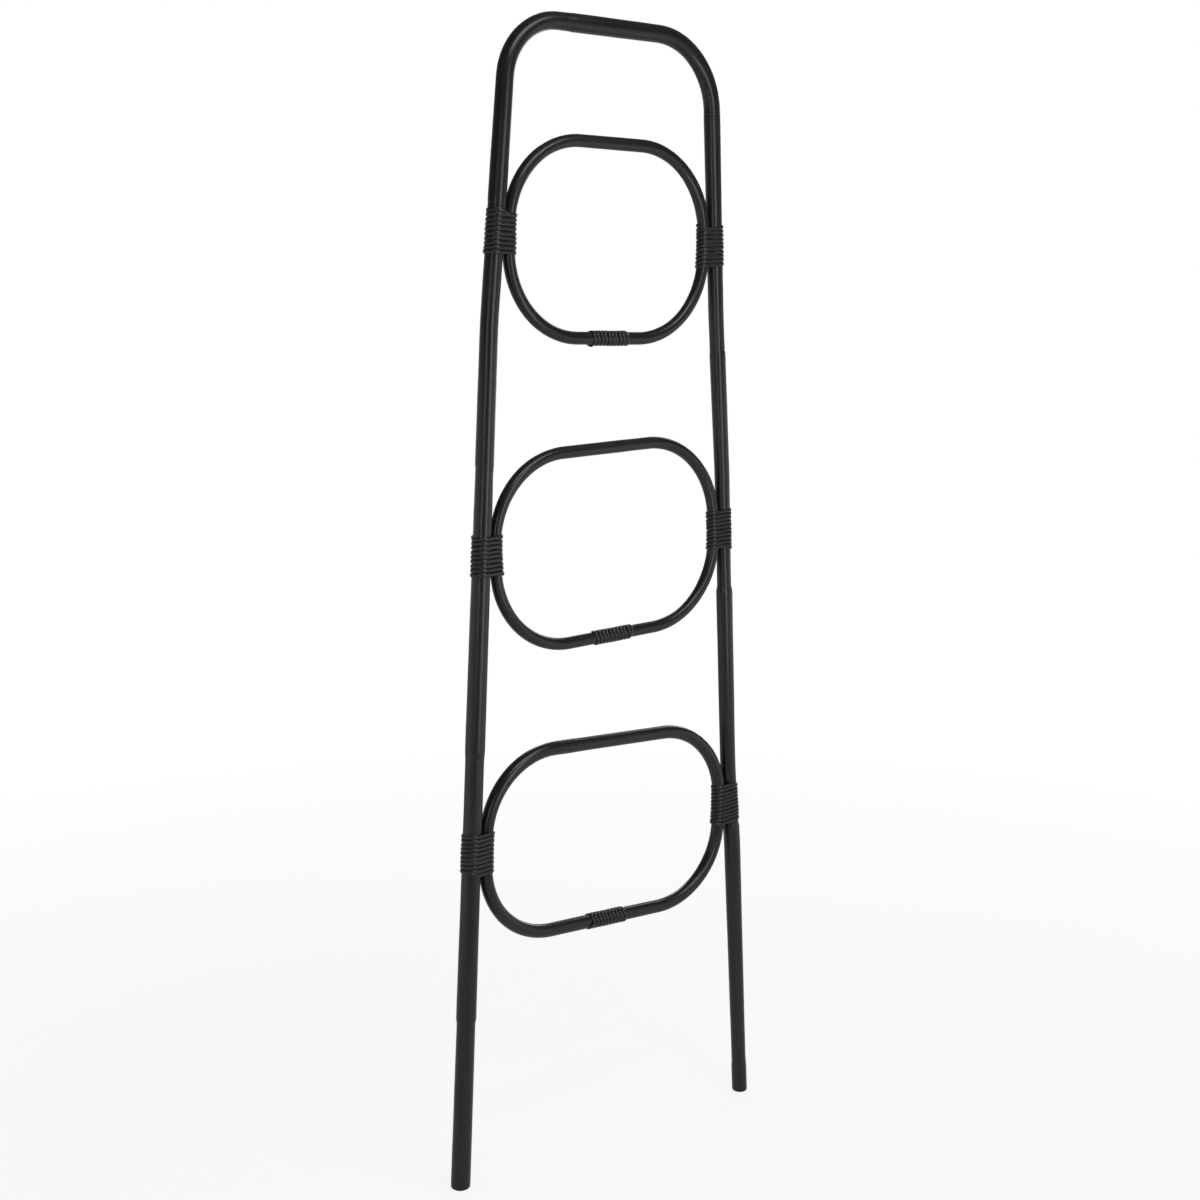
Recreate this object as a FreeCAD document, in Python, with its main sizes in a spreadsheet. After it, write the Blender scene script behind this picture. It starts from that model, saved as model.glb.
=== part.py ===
"""Rattan blanket ladder, drawn as a parametric document, in millimetres.

One long cane is bent into a hoop: up from the left foot, over the top and down
to the right foot.  Three thinner canes are bent into rounded rings, each joined
to itself in a scarf, and seated between the hoop's two rails.  A countersunk
screw draws each side of a ring against its rail, two brads pin each scarf, and a
strip of split cane is lashed round every one of those joints.

The origin is on the floor, midway between the feet: X to the right, Y away from
the viewer, Z up.  The ladder's middle plane is Y = 0.
"""
import FreeCAD, Part
import math
import os
import Sketcher
from FreeCAD import Placement, Rotation, Vector

UP = Vector(0, 0, 1)
BACK = Vector(0, 1, 0)
TINY = 1e-6

# --------------------------------------------------------------------------
# Driving dimensions
# --------------------------------------------------------------------------
SIZES = (
    # the hoop's centre line, as reaches from the middle plane and heights
    ("left_foot_reach", 290.6, "left foot's centre, at the floor"),
    ("left_corner_reach", 187.1, "corner of the left rail and the top bar"),
    ("left_corner_height", 1761.4, "height of that corner"),
    ("left_corner_radius", 94.0, "bend at the left corner"),
    ("right_foot_reach", 291.5, "right foot's centre, at the floor"),
    ("right_corner_reach", 195.0, "corner of the right rail and the top bar"),
    ("right_corner_height", 1756.0, "height of that corner"),
    ("right_corner_radius", 113.0, "bend at the right corner"),
    # slight sets of the rails: each drop is from the corner or the set above,
    # each bow outwards from the straight line between foot and corner
    ("left_set_drop", 436.4, "the left rail's one set, below its corner"),
    ("left_set_bow", 12.3, "how far it stands outside the line"),
    ("right_upper_set_drop", 421.0, "the right rail's upper set, below its corner"),
    ("right_upper_set_bow", -4.4, "it stands inside the line"),
    ("right_middle_set_drop", 255.0, "its middle set, below the upper one"),
    ("right_middle_set_bow", -1.0, "it stands inside the line"),
    ("right_lower_set_drop", 490.0, "its lower set, below the middle one"),
    ("right_lower_set_bow", -6.2, "it stands inside the line"),
    ("right_last_set_drop", 135.0, "its last set, below the lower one"),
    ("right_last_set_bow", -1.4, "it stands inside the line"),
    ("set_radius", 1200.0, "radius of the rails' slight sets"),
    # the hoop's cane
    ("internode_taper", 0.0034, "radius lost for each millimetre of an internode"),
    ("shoulder_length", 10.0, "step up to full radius past each cane node"),
    ("first_internode", 265.0, "cane nodes: from the left foot to the first"),
    ("second_internode", 416.0, "cane on the left rail"),
    ("third_internode", 432.0, "cane on the left rail"),
    ("fourth_internode", 384.0, "cane on the left rail, up to above the top ring"),
    ("fifth_internode", 338.0, "cane round the left corner"),
    ("sixth_internode", 347.0, "cane along the top bar and round the right corner"),
    ("seventh_internode", 366.0, "cane on the right rail"),
    ("eighth_internode", 384.0, "cane on the right rail"),
    ("ninth_internode", 407.0, "cane on the right rail, to below the bottom ring"),
    ("tenth_internode", 435.0, "cane on the right rail, to just above the foot"),
    ("first_internode_radius", 14.7, "its mean radius"),
    ("second_internode_radius", 14.9, "its mean radius"),
    ("third_internode_radius", 14.35, "its mean radius"),
    ("fourth_internode_radius", 13.8, "its mean radius"),
    ("fifth_internode_radius", 13.4, "its mean radius"),
    ("sixth_internode_radius", 13.5, "its mean radius"),
    ("seventh_internode_radius", 12.9, "its mean radius"),
    ("eighth_internode_radius", 12.45, "its mean radius"),
    ("ninth_internode_radius", 13.0, "its mean radius"),
    ("tenth_internode_radius", 13.0, "its mean radius"),
    ("last_internode_radius", 13.0, "mean radius below the last node"),
    ("shortest_run", 2.0, "no straight piece of the hoop is cut shorter than this"),
    ("foot_round", 4.0, "rounded edge of each foot"),
    ("foot_allowance", 3.0, "cane left on below the floor line before the feet are cut level"),
    # the rings
    ("top_ring_height", 290.4, "its centre line, from bottom to top"),
    ("middle_ring_height", 295.0, "its centre line, from bottom to top"),
    ("bottom_ring_height", 292.4, "its centre line, from bottom to top"),
    ("top_ring_corner", 128.3, "bend at its corners"),
    ("middle_ring_corner", 130.8, "bend at its corners"),
    ("bottom_ring_corner", 125.5, "bend at its corners"),
    ("ring_seat_gap", 0.3, "between a ring's side and its rail, where they are closest"),
    ("top_ring_drop", 312.7, "its centre, below the mean height of the hoop's corners"),
    ("middle_ring_drop", 459.7, "its centre, below the top ring's"),
    ("bottom_ring_drop", 463.4, "its centre, below the middle ring's"),
    ("top_ring_tilt", -1.0, "degrees, right side up"),
    ("middle_ring_tilt", 2.3, "degrees, right side up"),
    ("bottom_ring_tilt", -1.8, "degrees, right side up"),
    ("top_ring_cane", 9.6, "radius of the top ring's cane"),
    ("middle_ring_cane", 9.35, "radius of the middle ring's cane"),
    ("bottom_ring_cane", 10.6, "radius of the bottom ring's cane"),
    ("scarf_length", 56.0, "length of each ring's scarf, along the cane"),
    ("glue_line", 0.2, "thickness of the glue in each scarf"),
    # the screws, and the brads that pin each scarf
    ("screw_shank", 1.75, "radius of a screw's shank"),
    ("screw_head", 3.4, "radius of its countersunk head"),
    ("screw_head_depth", 2.2, "depth of the countersink"),
    ("screw_sink", 0.8, "the head lies this far below the cane's inner side"),
    ("screw_bite", 15.0, "shank inside the rail"),
    ("brad_radius", 0.9, "radius of a headless brad"),
    ("brad_cover", 1.5, "cane left over both ends of a brad"),
    ("brad_spacing", 22.0, "between the two brads of a scarf"),
    ("hole_clearance", 0.05, "round a screw or a brad, on the radius"),
    # the lashings
    ("strip_width", 5.6, "split cane, on the side that lies on the joint"),
    ("strip_crown", 3.2, "width of the strip's worn outer side"),
    ("strip_thickness", 1.9, "thickness of the strip"),
    ("strip_clearance", 0.3, "between the strip and the canes under it"),
    ("left_pitch", 6.7, "from turn to turn of a lashing on the left rail"),
    ("right_pitch", 6.3, "from turn to turn of a lashing on the right rail"),
    ("scarf_pitch", 7.0, "from turn to turn of a lashing on a scarf"),
    ("left_top_lashing", 11.0, "middle of the lashing, above the ring's centre"),
    ("right_top_lashing", -3.0, "middle of the lashing, above the ring's centre"),
    ("left_middle_lashing", -1.3, "middle of the lashing, above the ring's centre"),
    ("right_middle_lashing", 3.7, "middle of the lashing, above the ring's centre"),
    ("left_bottom_lashing", 9.1, "middle of the lashing, above the ring's centre"),
    ("right_bottom_lashing", 4.1, "middle of the lashing, above the ring's centre"),
)
LEFT_TURNS = 9
RIGHT_TURNS = 10
SCARF_TURNS = 10
FACETS_ON_RAIL = 6
FACETS_ON_RING = 5
RINGS = ("top", "middle", "bottom")
SIDES = {"left": -1, "right": 1}
SETS = {
    "left": ("left_set",),
    "right": ("right_upper_set", "right_middle_set", "right_lower_set", "right_last_set"),
}
SOLVING_STEPS = 20
OVERSIZE = 2
CORNER_TURN = math.radians(45)

doc = FreeCAD.newDocument("BlanketLadder")


def new_sheet(name):
    """An empty spreadsheet of the document."""
    return doc.addObject("Spreadsheet::Sheet", name)


def enter(sheet, row, alias, value, note):
    """One row of a sheet: what it is, then its value under an alias."""
    sheet.set("A%d" % row, note)
    sheet.set("B%d" % row, repr(value))
    sheet.setAlias("B%d" % row, alias)


sizes = new_sheet("Sizes")
for line, (alias, value, note) in enumerate(SIZES, start=1):
    enter(sizes, line, alias, value, note)
worked = new_sheet("Worked")
doc.recompute()
worked_rows = []


def size(alias):
    """A driving dimension, as the sheet holds it."""
    return float(sizes.get(alias))


def work_out(alias, value, note):
    """Keep a value that follows from the driving dimensions, and return its reference."""
    worked_rows.append(alias)
    enter(worked, len(worked_rows), alias, round(value, 6), note)
    return "Worked." + alias


def bind(target, **references):
    """Tie properties of an object to cells of the sheets."""
    for name, reference in references.items():
        target.setExpression(name, reference)


def point(x, z):
    """A point of the middle plane."""
    return Vector(x, 0, z)


# --------------------------------------------------------------------------
# The hoop's centre line: straight runs joined by tangent bends
# --------------------------------------------------------------------------
class Run:
    """A straight stretch of cane."""

    def __init__(self, start, end):
        self.start = start
        self.end = end
        self.length = (end - start).Length
        self.heading = (end - start).normalize()

    def at(self, distance):
        return self.start + self.heading * distance

    def passes(self, height):
        """How far along it a height is met, the point there and the heading."""
        along = (height - self.start.z) / self.heading.z
        return along, self.at(along), self.heading


class Bend:
    """A tangent arc of cane that rounds the corner between two runs."""

    def __init__(self, before, apex, after, radius):
        self.arriving = (apex - before).normalize()
        self.leaving = (after - apex).normalize()
        self.turn = self.arriving.getAngle(self.leaving)
        self.axis = self.arriving.cross(self.leaving).normalize()
        self.radius = radius
        self.length = radius * self.turn
        reach = radius * math.tan(self.turn / 2)
        self.start = apex - self.arriving * reach
        self.end = apex + self.leaving * reach
        self.centre = self.start + self.axis.cross(self.arriving) * radius

    def passes(self, height):
        """How far along it a height is met, the point there and the heading."""
        rise = height - self.centre.z
        side = math.copysign(1, self.start.x + self.end.x - 2 * self.centre.x)
        spoke = Vector(side * math.sqrt(self.radius ** 2 - rise ** 2), 0, rise)
        along = self.radius * spoke.getAngle(self.start - self.centre)
        return along, self.centre + spoke, self.axis.cross(spoke).normalize()


def centre_line(corners, radii):
    """Runs and bends, in order, through a list of corners."""
    bends = [
        Bend(corners[i], corners[i + 1], corners[i + 2], radius)
        for i, radius in enumerate(radii)
    ]
    starts = [corners[0]] + [bend.end for bend in bends]
    ends = [bend.start for bend in bends] + [corners[-1]]
    line = [Run(starts[0], ends[0])]
    for bend, start, end in zip(bends, starts[1:], ends[1:]):
        line += [bend, Run(start, end)]
    return line


def rail_corners(side):
    """A rail's foot, its sets and its corner, from the floor up."""
    sign = SIDES[side]
    foot = point(sign * size(side + "_foot_reach"), 0)
    corner = point(sign * size(side + "_corner_reach"), size(side + "_corner_height"))
    lean = (corner.x - foot.x) / corner.z
    height = corner.z
    climbed = [corner]
    for name in SETS[side]:
        height -= size(name + "_drop")
        bow = sign * size(name + "_bow")
        climbed.insert(0, point(foot.x + lean * height + bow, height))
    uncut = foot + (foot - climbed[0]).normalize() * size("foot_allowance")
    return [uncut] + climbed


hoop_line = centre_line(
    rail_corners("left") + rail_corners("right")[::-1],
    [size("set_radius") for name in SETS["left"]]
    + [size("left_corner_radius"), size("right_corner_radius")]
    + [size("set_radius") for name in SETS["right"]],
)
hoop_length = sum(piece.length for piece in hoop_line)

# --------------------------------------------------------------------------
# The hoop's cane: every internode tapers a little, and steps up past its node
# --------------------------------------------------------------------------
INTERNODES = (
    "first", "second", "third", "fourth", "fifth",
    "sixth", "seventh", "eighth", "ninth", "tenth",
)
nodes = []
travelled = size("foot_allowance")
for internode in INTERNODES:
    travelled += size(internode + "_internode")
    nodes.append(travelled)


def straight_before(distance):
    """How much of the cane up to a distance lies outside the hoop's two corners."""
    total = 0.0
    for piece in hoop_line:
        part = min(piece.length, max(0.0, distance))
        if isinstance(piece, Run) or piece.turn <= CORNER_TURN:
            total += part
        distance -= piece.length
    return total


def internode_radius(index, distance):
    """Radius within one internode: corners keep theirs, straighter cane tapers."""
    begin = nodes[index - 1] if index > 0 else 0.0
    end = nodes[index] if index < len(nodes) else hoop_length
    name = INTERNODES[index] if index < len(nodes) else "last"
    mean = size(name + "_internode_radius")
    middle = (straight_before(begin) + straight_before(end)) / 2
    return mean + size("internode_taper") * (middle - straight_before(distance))


def hoop_radius(distance):
    """The cane's radius at a distance along the hoop."""
    index = sum(1 for node in nodes if node <= distance + TINY)
    full = internode_radius(index, distance)
    if index == 0:
        return full
    node = nodes[index - 1]
    past_node = (distance - node) / size("shoulder_length")
    if past_node >= 1:
        return full
    before = internode_radius(index - 1, node)
    after = internode_radius(index, node + size("shoulder_length"))
    return before + (after - before) * past_node


def rail_at(side, height):
    """Where a rail's centre line passes a height: point, upward heading, radius."""
    distance = 0.0
    for piece in hoop_line:
        on_side = (piece.start.x < 0) == (side == "left")
        low, high = sorted((piece.start.z, piece.end.z))
        upright = high - low > piece.length / 2
        if on_side and upright and low - TINY <= height <= high + TINY:
            along, where, heading = piece.passes(height)
            upward = heading * math.copysign(1, heading.z)
            return where, upward, hoop_radius(distance + along)
        distance += piece.length
    raise ValueError("the %s rail doesn't reach height %.1f" % (side, height))


def square_to(heading, side):
    """Outward direction of a rail, square to its heading in the middle plane."""
    return Vector(heading.z, 0, -heading.x) * SIDES[side]


# --------------------------------------------------------------------------
# Where each ring sits: both its sides rest against the rails
# --------------------------------------------------------------------------
class Ring:
    """A rounded rectangle of cane, as wide as the rails leave it room to be."""

    def __init__(self, name, level):
        self.name = name
        self.level = level
        self.tilt = math.radians(size(name + "_ring_tilt"))
        self.cane = size(name + "_ring_cane")
        self.corner = size(name + "_ring_corner")
        self.half_height = size(name + "_ring_height") / 2
        self.across = Vector(math.cos(self.tilt), 0, math.sin(self.tilt))
        self.upward = Vector(-math.sin(self.tilt), 0, math.cos(self.tilt))
        touching = {side: level for side in SIDES}
        for _ in range(SOLVING_STEPS):
            self.seat(touching)
            touching = {side: self.touch(side, touching[side]) for side in SIDES}

    def seat(self, touching):
        """Half width and centre, from one contact with each rail.

        A side touches where the ring reaches furthest towards its rail.  That
        reach is the ring's corner, plus its two half sizes less the corner,
        each seen along the direction square to the rail.  It is linear in the
        half width and in the centre's place, so two rails give both.
        """
        rows = []
        for side, height in touching.items():
            where, heading, radius = rail_at(side, height)
            outward = square_to(heading, side)
            width_share = abs(outward.dot(self.across))
            height_share = abs(outward.dot(self.upward))
            room = outward.dot(where) - outward.z * self.level
            room -= radius + self.cane + size("ring_seat_gap")
            room -= self.corner + height_share * (self.half_height - self.corner)
            room += width_share * self.corner
            rows.append((width_share, outward.x, room))
        (w1, x1, room1), (w2, x2, room2) = rows
        determinant = w1 * x2 - w2 * x1
        self.half_width = (room1 * x2 - room2 * x1) / determinant
        self.centre = point((w1 * room2 - w2 * room1) / determinant, self.level)

    def touch(self, side, height):
        """The height where a side touches, given the rail's lean near there."""
        outward = square_to(rail_at(side, height)[1], side)
        run = math.copysign(self.half_height - self.corner, outward.dot(self.upward))
        corner = self.place(SIDES[side] * (self.half_width - self.corner), run)
        return (corner + outward * self.corner).z

    def place(self, across, upward, back=0.0):
        """A point given in the ring's own frame."""
        return self.centre + self.across * across + self.upward * upward + BACK * back

    def side_reach(self, upward):
        """Half width of the centre line at a height in the ring's own frame."""
        over = max(0.0, abs(upward) - (self.half_height - self.corner))
        return self.half_width - self.corner + math.sqrt(self.corner ** 2 - over ** 2)

    def distance_from(self, origin, heading, sign):
        """How far along a line from a rail the ring's centre line is met."""
        far = 0.0
        for _ in range(SOLVING_STEPS):
            offset = origin + heading * far - self.centre
            target = sign * self.side_reach(offset.dot(self.upward))
            far += (target - offset.dot(self.across)) / heading.dot(self.across)
        return far


rings = {}
level = (size("left_corner_height") + size("right_corner_height")) / 2
for name in RINGS:
    level -= size(name + "_ring_drop")
    rings[name] = Ring(name, level)

# --------------------------------------------------------------------------
# Solids of the hoop
# --------------------------------------------------------------------------
hoop_pieces = []


def cane_run(name, start, end, start_radius, end_radius):
    """A straight, tapering stretch of the hoop."""
    cone = doc.addObject("Part::Cone", name)
    label = name.lower()
    bind(
        cone,
        Radius1=work_out(label + "_start", start_radius, "radius at its start"),
        Radius2=work_out(label + "_end", end_radius, "radius at its end"),
        Height=work_out(label + "_length", (end - start).Length, "its length"),
    )
    cone.Placement = Placement(start, Rotation(UP, end - start))
    hoop_pieces.append(cone)


def cane_set(name, bend, start_radius, end_radius):
    """A slight set of a rail, ruled between its two end sections."""
    ends = []
    for end, where, heading, radius in (
        ("_start", bend.start, bend.arriving, start_radius),
        ("_end", bend.end, bend.leaving, end_radius),
    ):
        circle = doc.addObject("Part::Circle", name + end)
        bind(circle, Radius=work_out(name.lower() + end, radius, "radius at this end"))
        circle.Placement = Placement(where, Rotation(UP, heading))
        ends.append(circle)
    ruled = doc.addObject("Part::Loft", name)
    ruled.Sections = ends
    ruled.Solid = True
    ruled.Ruled = True
    hoop_pieces.append(ruled)


def cane_corner(name, bend, radius):
    """A bent corner of the hoop, round and even."""
    torus = doc.addObject("Part::Torus", name)
    label = name.lower()
    torus.Angle1 = -180
    torus.Angle2 = 180
    bind(
        torus,
        Radius1=work_out(label + "_bend", bend.radius, "radius of the bend"),
        Radius2=work_out(label + "_cane", radius, "radius of the cane"),
        Angle3=work_out(label + "_turn", math.degrees(bend.turn), "turn, in degrees"),
    )
    outward = (bend.start - bend.centre).normalize()
    sideways = bend.axis.cross(outward)
    torus.Placement = Placement(bend.centre, Rotation(outward, sideways, bend.axis, "ZXY"))
    hoop_pieces.append(torus)


breaks = sorted(nodes + [node + size("shoulder_length") for node in nodes])
travelled = 0.0
for piece in hoop_line:
    finish = travelled + piece.length
    number = len(hoop_pieces)
    if isinstance(piece, Bend) and piece.turn > CORNER_TURN:
        cane_corner("Corner_%d" % number, piece, hoop_radius(travelled + piece.length / 2))
    elif isinstance(piece, Bend):
        cane_set("Set_%d" % number, piece, hoop_radius(travelled), hoop_radius(finish))
    else:
        first, last = travelled + size("shortest_run"), finish - size("shortest_run")
        stops = [travelled] + [at for at in breaks if first < at < last] + [finish]
        for begin, end in zip(stops, stops[1:]):
            cane_run(
                "Run_%d" % len(hoop_pieces),
                piece.at(begin - travelled),
                piece.at(end - travelled),
                hoop_radius(begin),
                hoop_radius(end - TINY),
            )
    travelled = finish

hoop_cane = doc.addObject("Part::MultiFuse", "HoopCane")
hoop_cane.Shapes = hoop_pieces


# --------------------------------------------------------------------------
# Screws: turned profiles, in the ring's middle plane
# --------------------------------------------------------------------------
class Screw:
    """A countersunk screw through a ring's side into the rail."""

    def __init__(self, ring, side):
        self.ring = ring
        self.name = "screw_%s_%s" % (ring.name, side)
        inner = ring.half_width - ring.cane + size("screw_sink")
        self.head = ring.place(SIDES[side] * inner, 0)
        self.heading = ring.across * SIDES[side]
        where, rail_heading, radius = rail_at(side, self.head.z)
        square = square_to(rail_heading, side)
        to_rail = (where - self.head).dot(square) - radius
        self.length = to_rail / self.heading.dot(square) + size("screw_bite")
        self.placement = Placement(self.head, Rotation(UP, self.heading))


screws = [Screw(rings[name], side) for name in RINGS for side in SIDES]


def plane_of(body, role):
    """One of a body's own origin planes."""
    return [o for o in body.Origin.OriginFeatures if o.Role == role][0]


def turned(body, name, outline):
    """A profile in the body's XZ plane, revolved about its Z axis.

    The outline is a list of (radius, height) corners.  Each corner is held by
    its own two dimensions, so the sketch follows the sheets.
    """
    sketch = body.newObject("Sketcher::SketchObject", name + "_profile")
    sketch.AttachmentSupport = [(plane_of(body, "XZ_Plane"), "")]
    sketch.MapMode = "FlatFace"
    corners = [Vector(radius, height, 0) for radius, height, _, _ in outline]
    count = len(corners)
    for i in range(count):
        segment = Part.LineSegment(corners[i], corners[(i + 1) % count])
        sketch.addGeometry(segment, False)
    for i in range(count):
        joint = Sketcher.Constraint("Coincident", i, 2, (i + 1) % count, 1)
        sketch.addConstraint(joint)
    for i, (radius, height, radius_cell, height_cell) in enumerate(outline):
        for axis, value, cell in (("X", radius, radius_cell), ("Y", height, height_cell)):
            rule = Sketcher.Constraint("Distance" + axis, -1, 1, i, 1, value)
            number = sketch.addConstraint(rule)
            if cell:
                sketch.setExpression("Constraints[%d]" % number, cell)
    revolved = body.newObject("PartDesign::Revolution", name)
    revolved.Profile = sketch
    revolved.ReferenceAxis = (sketch, ["V_Axis"])
    revolved.Angle = 360


def screw_body(screw, label, slack):
    """The screw itself, or the hole it needs when given some slack."""
    body = doc.addObject("PartDesign::Body", label)
    body.Label = label
    head = size("screw_head") + slack
    shank = size("screw_shank") + slack
    cell = label.lower()
    wide = work_out(cell + "_head", head, "radius of the head")
    thin = work_out(cell + "_shank", shank, "radius of the shank")
    whole = work_out(cell + "_length", screw.length + slack, "overall length")
    turned(body, label + "_turned", [
        (0.0, 0.0, None, None),
        (head, 0.0, wide, None),
        (shank, size("screw_head_depth"), thin, "Sizes.screw_head_depth"),
        (shank, screw.length + slack, thin, whole),
        (0.0, screw.length + slack, None, whole),
    ])
    body.Placement = screw.placement
    return body


# --------------------------------------------------------------------------
# Rings: a round cane swept along a rounded rectangle
# --------------------------------------------------------------------------
def ring_path(body, ring, width_cell, height_cell):
    """Closed rounded rectangle: four runs and four bends, fully constrained."""
    sketch = body.newObject("Sketcher::SketchObject", "Path_" + ring.name)
    sketch.AttachmentSupport = [(plane_of(body, "XZ_Plane"), "")]
    sketch.MapMode = "FlatFace"
    wide = ring.half_width
    tall = ring.half_height
    corner = ring.corner
    quarter = math.pi / 2
    centres = [(1, 1), (-1, 1), (-1, -1), (1, -1)]
    for i, (across, upward) in enumerate(centres):
        centre = Vector(across * (wide - corner), upward * (tall - corner), 0)
        circle = Part.Circle(centre, Vector(0, 0, 1), corner)
        sketch.addGeometry(Part.ArcOfCircle(circle, i * quarter, (i + 1) * quarter), False)
    ends = []
    for i, (across, upward) in enumerate(centres):
        angle = (i + 1) * quarter
        centre = Vector(across * (wide - corner), upward * (tall - corner), 0)
        ends.append(centre + Vector(math.cos(angle), math.sin(angle), 0) * corner)
    for i in range(4):
        across, upward = centres[(i + 1) % 4]
        angle = (i + 1) * quarter
        centre = Vector(across * (wide - corner), upward * (tall - corner), 0)
        begin = centre + Vector(math.cos(angle), math.sin(angle), 0) * corner
        sketch.addGeometry(Part.LineSegment(ends[i], begin), False)
    rules = []
    for i in range(4):
        rules.append(Sketcher.Constraint("Tangent", i, 2, 4 + i, 1))
        rules.append(Sketcher.Constraint("Tangent", 4 + i, 2, (i + 1) % 4, 1))
    rules += [
        Sketcher.Constraint("Horizontal", 4),
        Sketcher.Constraint("Vertical", 5),
        Sketcher.Constraint("Horizontal", 6),
        Sketcher.Constraint("Vertical", 7),
    ]
    rules += [Sketcher.Constraint("Equal", 0, i) for i in (1, 2, 3)]
    rules.append(Sketcher.Constraint("Symmetric", 0, 3, 2, 3, -1, 1))
    sketch.addConstraint(rules)
    for kind, first, second, value, cell in (
        ("DistanceX", (1, 3), (0, 3), 2 * (wide - corner), width_cell),
        ("DistanceY", (3, 3), (0, 3), 2 * (tall - corner), height_cell),
    ):
        number = sketch.addConstraint(Sketcher.Constraint(kind, *first, *second, value))
        sketch.setExpression("Constraints[%d]" % number, cell)
    number = sketch.addConstraint(Sketcher.Constraint("Radius", 0, corner))
    sketch.setExpression("Constraints[%d]" % number, "Sizes.%s_ring_corner" % ring.name)
    return sketch


def ring_body(ring):
    """The bent cane, closed on itself."""
    body = doc.addObject("PartDesign::Body", "Cane_" + ring.name)
    width_cell = work_out(
        ring.name + "_ring_run", 2 * (ring.half_width - ring.corner), "level run of the ring"
    )
    height_cell = work_out(
        ring.name + "_ring_side", 2 * (ring.half_height - ring.corner), "upright run of the ring"
    )
    path = ring_path(body, ring, width_cell, height_cell)
    section = body.newObject("Sketcher::SketchObject", "Section_" + ring.name)
    section.AttachmentSupport = [(plane_of(body, "YZ_Plane"), "")]
    section.MapMode = "FlatFace"
    section.setExpression("AttachmentOffset.Base.z", width_cell + " / 2")
    section.addGeometry(Part.Circle(Vector(0, ring.half_height, 0), UP, ring.cane), False)
    section.addConstraint(Sketcher.Constraint("PointOnObject", 0, 3, -2))
    number = section.addConstraint(Sketcher.Constraint("DistanceY", 0, 3, ring.half_height))
    section.setExpression("Constraints[%d]" % number, "Sizes.%s_ring_height / 2" % ring.name)
    number = section.addConstraint(Sketcher.Constraint("Radius", 0, ring.cane))
    section.setExpression("Constraints[%d]" % number, "Sizes.%s_ring_cane" % ring.name)
    doc.recompute()
    pipe = body.newObject("PartDesign::AdditivePipe", "Bent_" + ring.name)
    pipe.Profile = section
    pipe.Spine = (path, ["Edge%d" % (i + 1) for i in range(8)])
    body.Placement = Placement(ring.centre, Rotation(ring.across, BACK, ring.upward, "ZXY"))
    return body


def scarf_cut(ring):
    """The glue line: a thin slab through the bottom run, from its upper to its lower side."""
    slab = doc.addObject("Part::Box", "Scarf_" + ring.name)
    slant = math.atan2(2 * ring.cane, size("scarf_length"))
    reach = OVERSIZE * (size("scarf_length") + 2 * ring.cane)
    deep = OVERSIZE * 2 * ring.cane
    bind(
        slab,
        Length=work_out(ring.name + "_scarf_slab", reach, "longer than the scarf"),
        Width=work_out(ring.name + "_scarf_depth", deep, "deeper than the cane"),
        Height="Sizes.glue_line",
    )
    along = ring.across * math.cos(slant) + ring.upward * math.sin(slant)
    square = ring.upward * math.cos(slant) - ring.across * math.sin(slant)
    corner = ring.place(0, -ring.half_height, -deep / 2)
    corner = corner - along * (reach / 2) - square * (size("glue_line") / 2)
    slab.Placement = Placement(corner, Rotation(along, BACK, square, "ZXY"))
    return slab


class Brad:
    """A brad driven up through a scarf from below."""

    def __init__(self, ring, which, sign):
        self.name = "brad_%s_%s" % (ring.name, which)
        self.ring = ring
        across = sign * size("brad_spacing") / 2
        self.head = ring.place(across, -ring.half_height - ring.cane + size("brad_cover"))
        self.length = 2 * (ring.cane - size("brad_cover"))


def brad_body(brad, label, slack):
    """The brad itself, or the hole it needs when given some slack."""
    pin = doc.addObject("Part::Cylinder", label)
    bind(
        pin,
        Radius=work_out(label.lower() + "_radius", size("brad_radius") + slack, "radius"),
        Height=work_out(label.lower() + "_length", brad.length + 2 * slack, "length"),
    )
    pin.Placement = Placement(brad.head - brad.ring.upward * slack, Rotation(UP, brad.ring.upward))
    return pin


def cut_from(name, base, tools):
    """The base less its tools."""
    together = doc.addObject("Part::MultiFuse", name + "_tools")
    together.Shapes = tools
    result = doc.addObject("Part::Cut", name)
    result.Base = base
    result.Tool = together
    return result


brads = [
    Brad(rings[name], which, sign)
    for name in RINGS
    for which, sign in SIDES.items()
]
screw_holes = [screw_body(s, "Hole_for_" + s.name, size("hole_clearance")) for s in screws]
brad_holes = [brad_body(b, "Hole_for_" + b.name, size("hole_clearance")) for b in brads]

pieces = {}
for name in RINGS:
    ring = rings[name]
    tools = [hole for hole, screw in zip(screw_holes, screws) if screw.ring is ring]
    tools += [hole for hole, brad in zip(brad_holes, brads) if brad.ring is ring]
    tools += [scarf_cut(ring)]
    pieces["ring_" + name] = cut_from("Ring_" + name, ring_body(ring), tools)
for screw in screws:
    pieces[screw.name] = screw_body(screw, screw.name, 0.0)
for brad in brads:
    pieces[brad.name] = brad_body(brad, brad.name, 0.0)

# --------------------------------------------------------------------------
# The hoop: cut level at the floor, bored for the screws, its feet rounded
# --------------------------------------------------------------------------
floor = doc.addObject("Part::Box", "Floor")
spread = OVERSIZE * (size("left_foot_reach") + size("right_foot_reach"))
depth = OVERSIZE * 2 * (size("first_internode_radius") + size("foot_allowance"))
bind(
    floor,
    Length=work_out("floor_length", spread, "wider than the feet"),
    Width=work_out("floor_width", depth, "deeper than the feet"),
    Height=work_out("floor_height", depth, "below the floor line"),
)
floor.Placement.Base = Vector(-spread / 2, -depth / 2, -depth)
hoop_cut = cut_from("Hoop_cut", hoop_cane, [floor] + screw_holes)
doc.recompute()

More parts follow.
